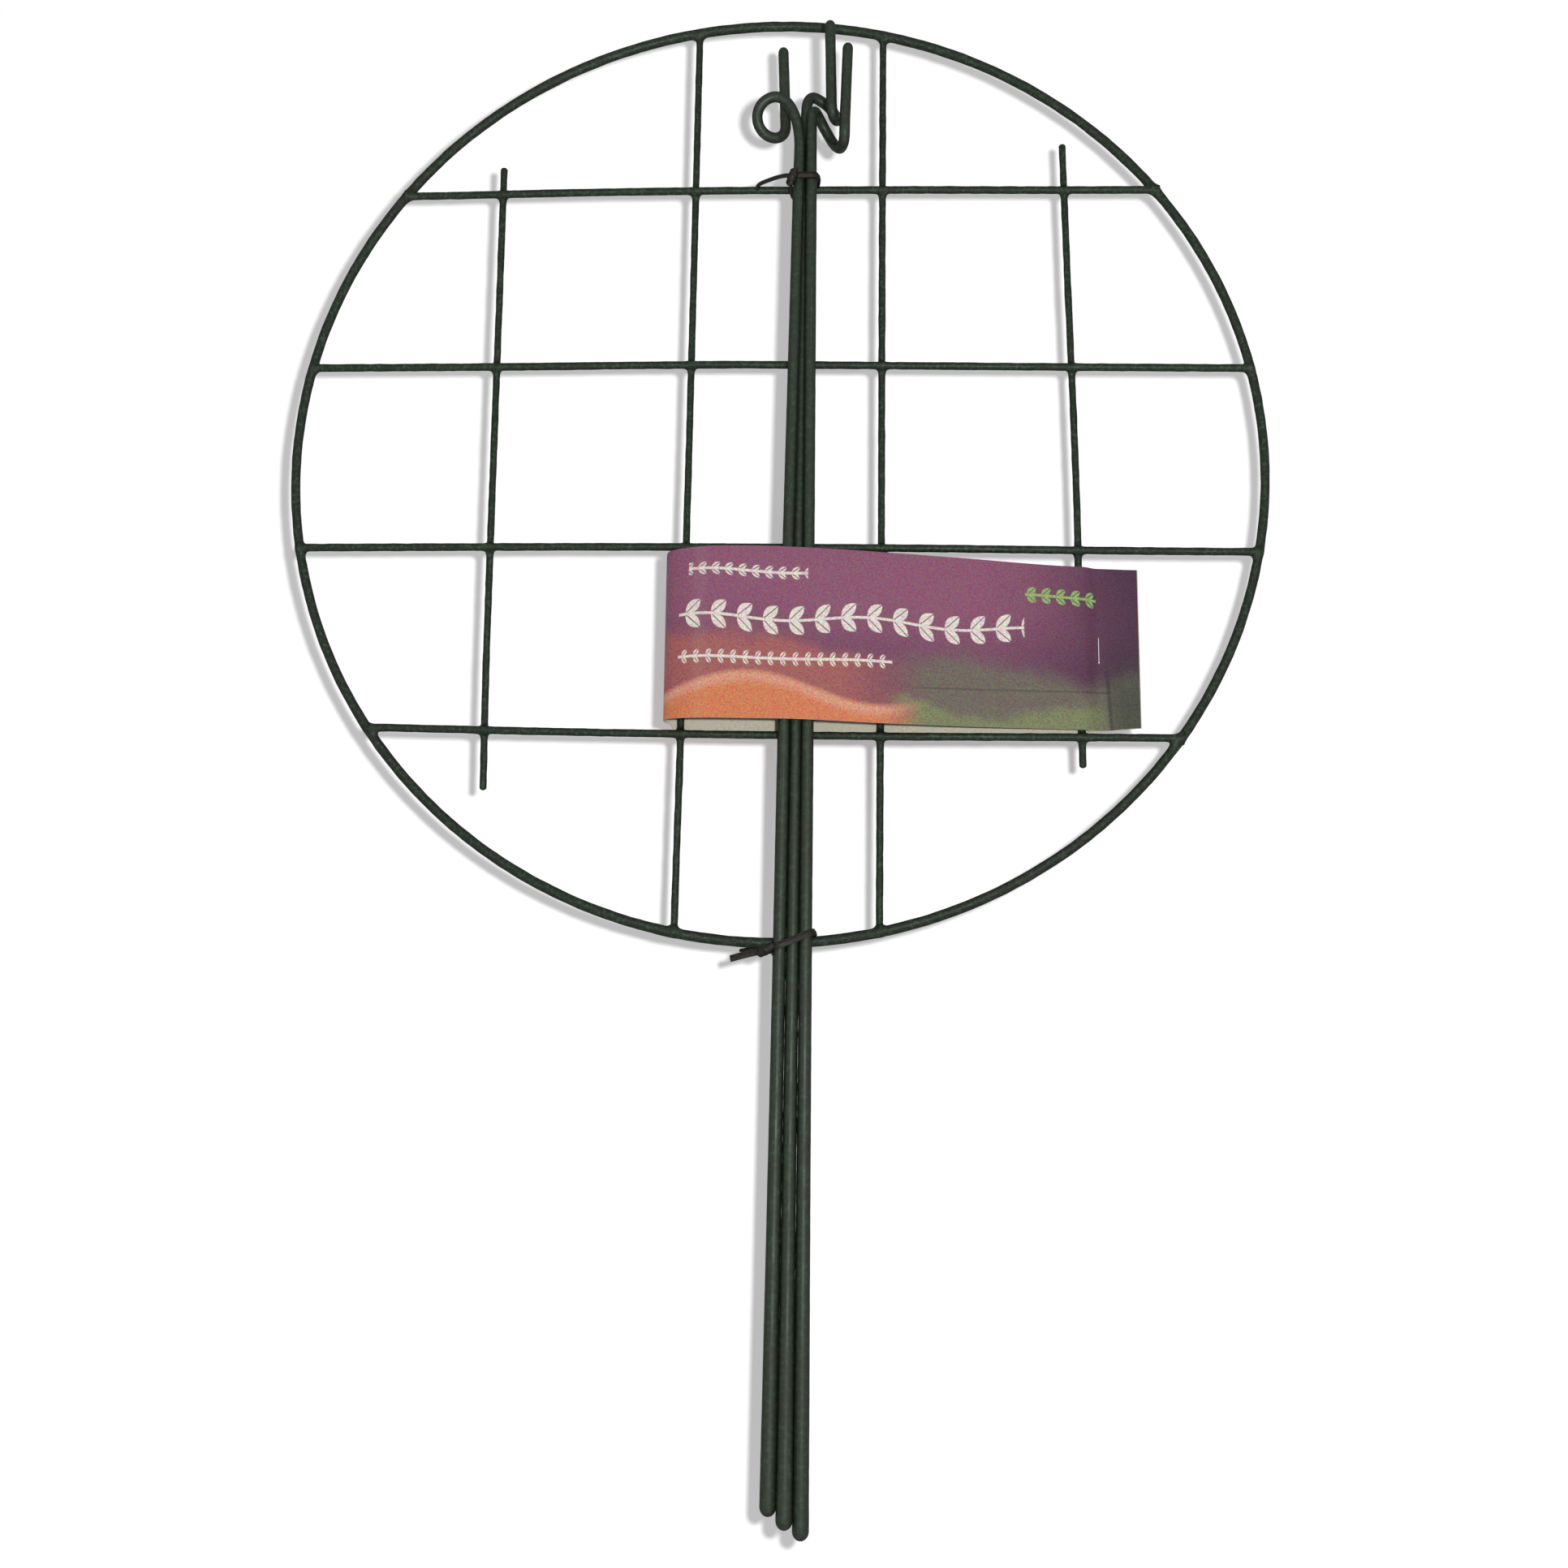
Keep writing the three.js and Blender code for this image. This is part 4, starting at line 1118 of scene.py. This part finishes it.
# %% [markdown]
# A twist tie is a flat plastic ribbon with a thin steel wire in its middle, which shows as a ridge. The
# upper one goes over the stakes and behind the first cross wire, the lower one over the stakes and behind
# the hoop. Their ends are twisted together at the left and stick out as short tails with square ends. The
# ribbon is swept along a soft curve round the stakes, so its flat side lies on them.

# %% Twist ties
tie_plastic = coated_material(
    "brown_tie_plastic", bump=0.3, specular=0.2, colour=(0.0118, 0.0096, 0.0075, 1),
    speck=(0.036, 0.03, 0.023, 1), dust=(0.028, 0.023, 0.018, 1), grain=700.0, speck_amount=0.8,
    dust_amount=0.5, smooth=0.4, rough=0.6)


def ribbon(half_width, thick=0.5):
    """Outline of a flat ribbon with a ridge over the wire in its middle."""
    quarter = [(half_width, 0.4 * thick), (0.85 * half_width, 0.6 * thick), (0.45, 0.7 * thick), (0.2, thick)]
    half = quarter + [(-a, b) for a, b in reversed(quarter)]
    return half + [(a, -b) for a, b in reversed(half)]


def loop_shell(points, centre, half_width, thick):
    line = smooth_path([Vector(p) for p in points], 8, closed=True)
    return sweep(line, [point - Vector(centre) for point in line], ribbon(half_width, thick), closed=True)


def twist_shells(start, stop, turns, reach, half_width, steps=40):
    """Two ribbons twisted about each other."""
    start, stop = Vector(start), Vector(stop)
    along = (stop - start).normalized()
    side = along.cross(Vector((0, 0, 1))).normalized()
    shells = []
    for phase in (0, math.pi):
        line, ups = [], []
        for i in range(steps + 1):
            share = i / steps
            angle = phase + turns * 2 * math.pi * share
            out = side * math.cos(angle) + along.cross(side) * math.sin(angle)
            line.append(start.lerp(stop, share) + out * reach * (1 - 0.5 * abs(2 * share - 1) ** 3))
            ups.append(out)
        shells.append(sweep(line, ups, ribbon(half_width)))
    return shells


def tail_shell(points, up_from, up_to, half_width):
    line = smooth_path([Vector(p) for p in points], 8)
    ups = [Vector(up_from).lerp(Vector(up_to), i / (len(line) - 1)) for i in range(len(line))]
    return sweep(line, ups, ribbon(half_width, 0.3))


top_loop = [
    (4.75, 231.9, 14.4), (5.7, 232.4, 16.35), (7.9, 233.1, 17.3), (10.6, 233.1, 17.3), (13.2, 233.2, 17.3),
    (15.4, 233.6, 16.35), (16.25, 234.2, 14.2), (16.4, 234.6, 11.0), (16.0, 234.5, 7.4), (14.9, 233.9, 4.0),
    (13.0, 232.8, 2.0), (10.6, 231.4, 1.7), (8.0, 229.9, 2.0), (6.0, 228.9, 4.0), (4.9, 229.2, 7.0),
    (4.6, 230.4, 10.6)]
top_tail = [
    (5.6, 232.3, 17.9), (2.5, 233.1, 16.7), (-1.0, 233.6, 14.4), (-5.0, 233.6, 11.8), (-8.5, 233.4, 9.3),
    (-9.5, 232.9, 7.6), (-9.0, 232.4, 6.6)]
bottom_loop = [
    (-0.05, -93.6, 9.4), (0.9, -93.2, 11.8), (3.0, -92.4, 12.65), (8.1, -90.4, 12.35), (13.2, -88.3, 12.7),
    (15.4, -87.5, 11.8), (16.5, -86.9, 9.8), (17.0, -86.7, 7.6), (16.7, -86.7, 5.0), (15.2, -87.3, 2.4),
    (12.6, -88.8, 0.95), (8.1, -91.0, 0.85), (3.6, -92.9, 0.95), (0.9, -94.4, 2.4), (-0.2, -94.6, 5.4)]
bottom_tails = (
    [(-2.8, -94.1, 8.8), (-7.0, -95.0, 8.3), (-12.0, -96.1, 7.3), (-16.4, -97.2, 6.2)],
    [(-2.8, -93.9, 8.0), (-6.0, -93.7, 7.1), (-9.5, -93.6, 6.5), (-12.8, -93.9, 6.1)])
top_shells = [
    loop_shell(top_loop, (10.6, 232.2, 9.6), 1.4, 0.68),
    *twist_shells((6.2, 234.3, 17.6), (4.6, 230.0, 17.0), 1.3, 1.6, 1.9),
    tail_shell(top_tail, (0, 0.2, 1), (0, 0.2, 1), 1.15)]
bottom_shells = [
    loop_shell(bottom_loop, (8.1, -90.6, 6.6), 1.4, 0.5),
    *twist_shells((0.3, -92.9, 11.0), (-4.4, -94.9, 9.4), 1.4, 1.75, 2.1),
    tail_shell(bottom_tails[0], (0.1, 0.15, 1), (0.1, 0.25, 1), 1.4),
    tail_shell(bottom_tails[1], (0.1, 0.5, 1), (0.1, 0.9, 0.6), 1.2)]
for name, shells, node_name in (("tie_at_pigtails", top_shells, "twist_tie_top"),
                                ("tie_at_hoop", bottom_shells, "twist_tie_bottom")):
    tie = make_piece(name, shells, tie_plastic, "grid", [node_name])
    keep_edges(tie, 40)
    print(name, len(tie.data.polygons), "faces")

# %% [markdown]
# The staple is bright drawn wire, pressed a little flat. Its corners are bent, not cut, and its ends are
# folded over behind the card. A rounded outline is swept along that bent path.

# %% Staple
staple_steel, node = new_material("bright_staple_steel")
place = node("Mapping", {"Vector": node("TexCoord", give="Object"), "Scale": (4000.0, 300.0, 4000.0)})
drawn_lines = node("TexNoise", {"Vector": place, "Scale": 1.0, "Detail": 2.0})
skin(node, {"Base Color": (0.72, 0.72, 0.7, 1), "Metallic": 1.0,
            "Roughness": scaled(drawn_lines, 0.3, 0.7, 0.22, 0.42)})

staple_low, staple_high = [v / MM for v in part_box("staple")]
staple_x = (staple_low.x + staple_high.x) / 2
wire_half = (staple_high.x - staple_low.x) / 2
staple_top, staple_foot = staple_high.z - wire_half, staple_low.z + wire_half
staple_ends = (staple_low.y + wire_half, staple_high.y - wire_half)
bend = 0.45
in_bend = 0.1
folded_end = 2.6
end_lift = 0.05
bent = []
for y, inwards in ((staple_ends[0], 1), (staple_ends[1], -1)):
    half = [(y + inwards * folded_end, staple_foot + end_lift), (y + inwards * bend, staple_foot),
            (y + inwards * in_bend, staple_foot + in_bend), (y, staple_foot + bend), (y, staple_top - bend),
            (y + inwards * in_bend, staple_top - in_bend), (y + inwards * bend, staple_top)]
    bent += half if inwards > 0 else list(reversed(half))
staple_line = smooth_path([Vector((staple_x, y, z)) for y, z in bent], 4)
flattened = 0.8
angles = [k * math.pi / 6 for k in range(12)]
staple_outline = [(wire_half * math.cos(a), flattened * wire_half * math.sin(a)) for a in angles]
staple_shell = sweep(staple_line, [Vector((1, 0, 0))] * len(staple_line), staple_outline)
staple = make_piece("wire_staple", [staple_shell], staple_steel, "sleeve", ["staple"])
print("staple faces:", len(staple.data.polygons))
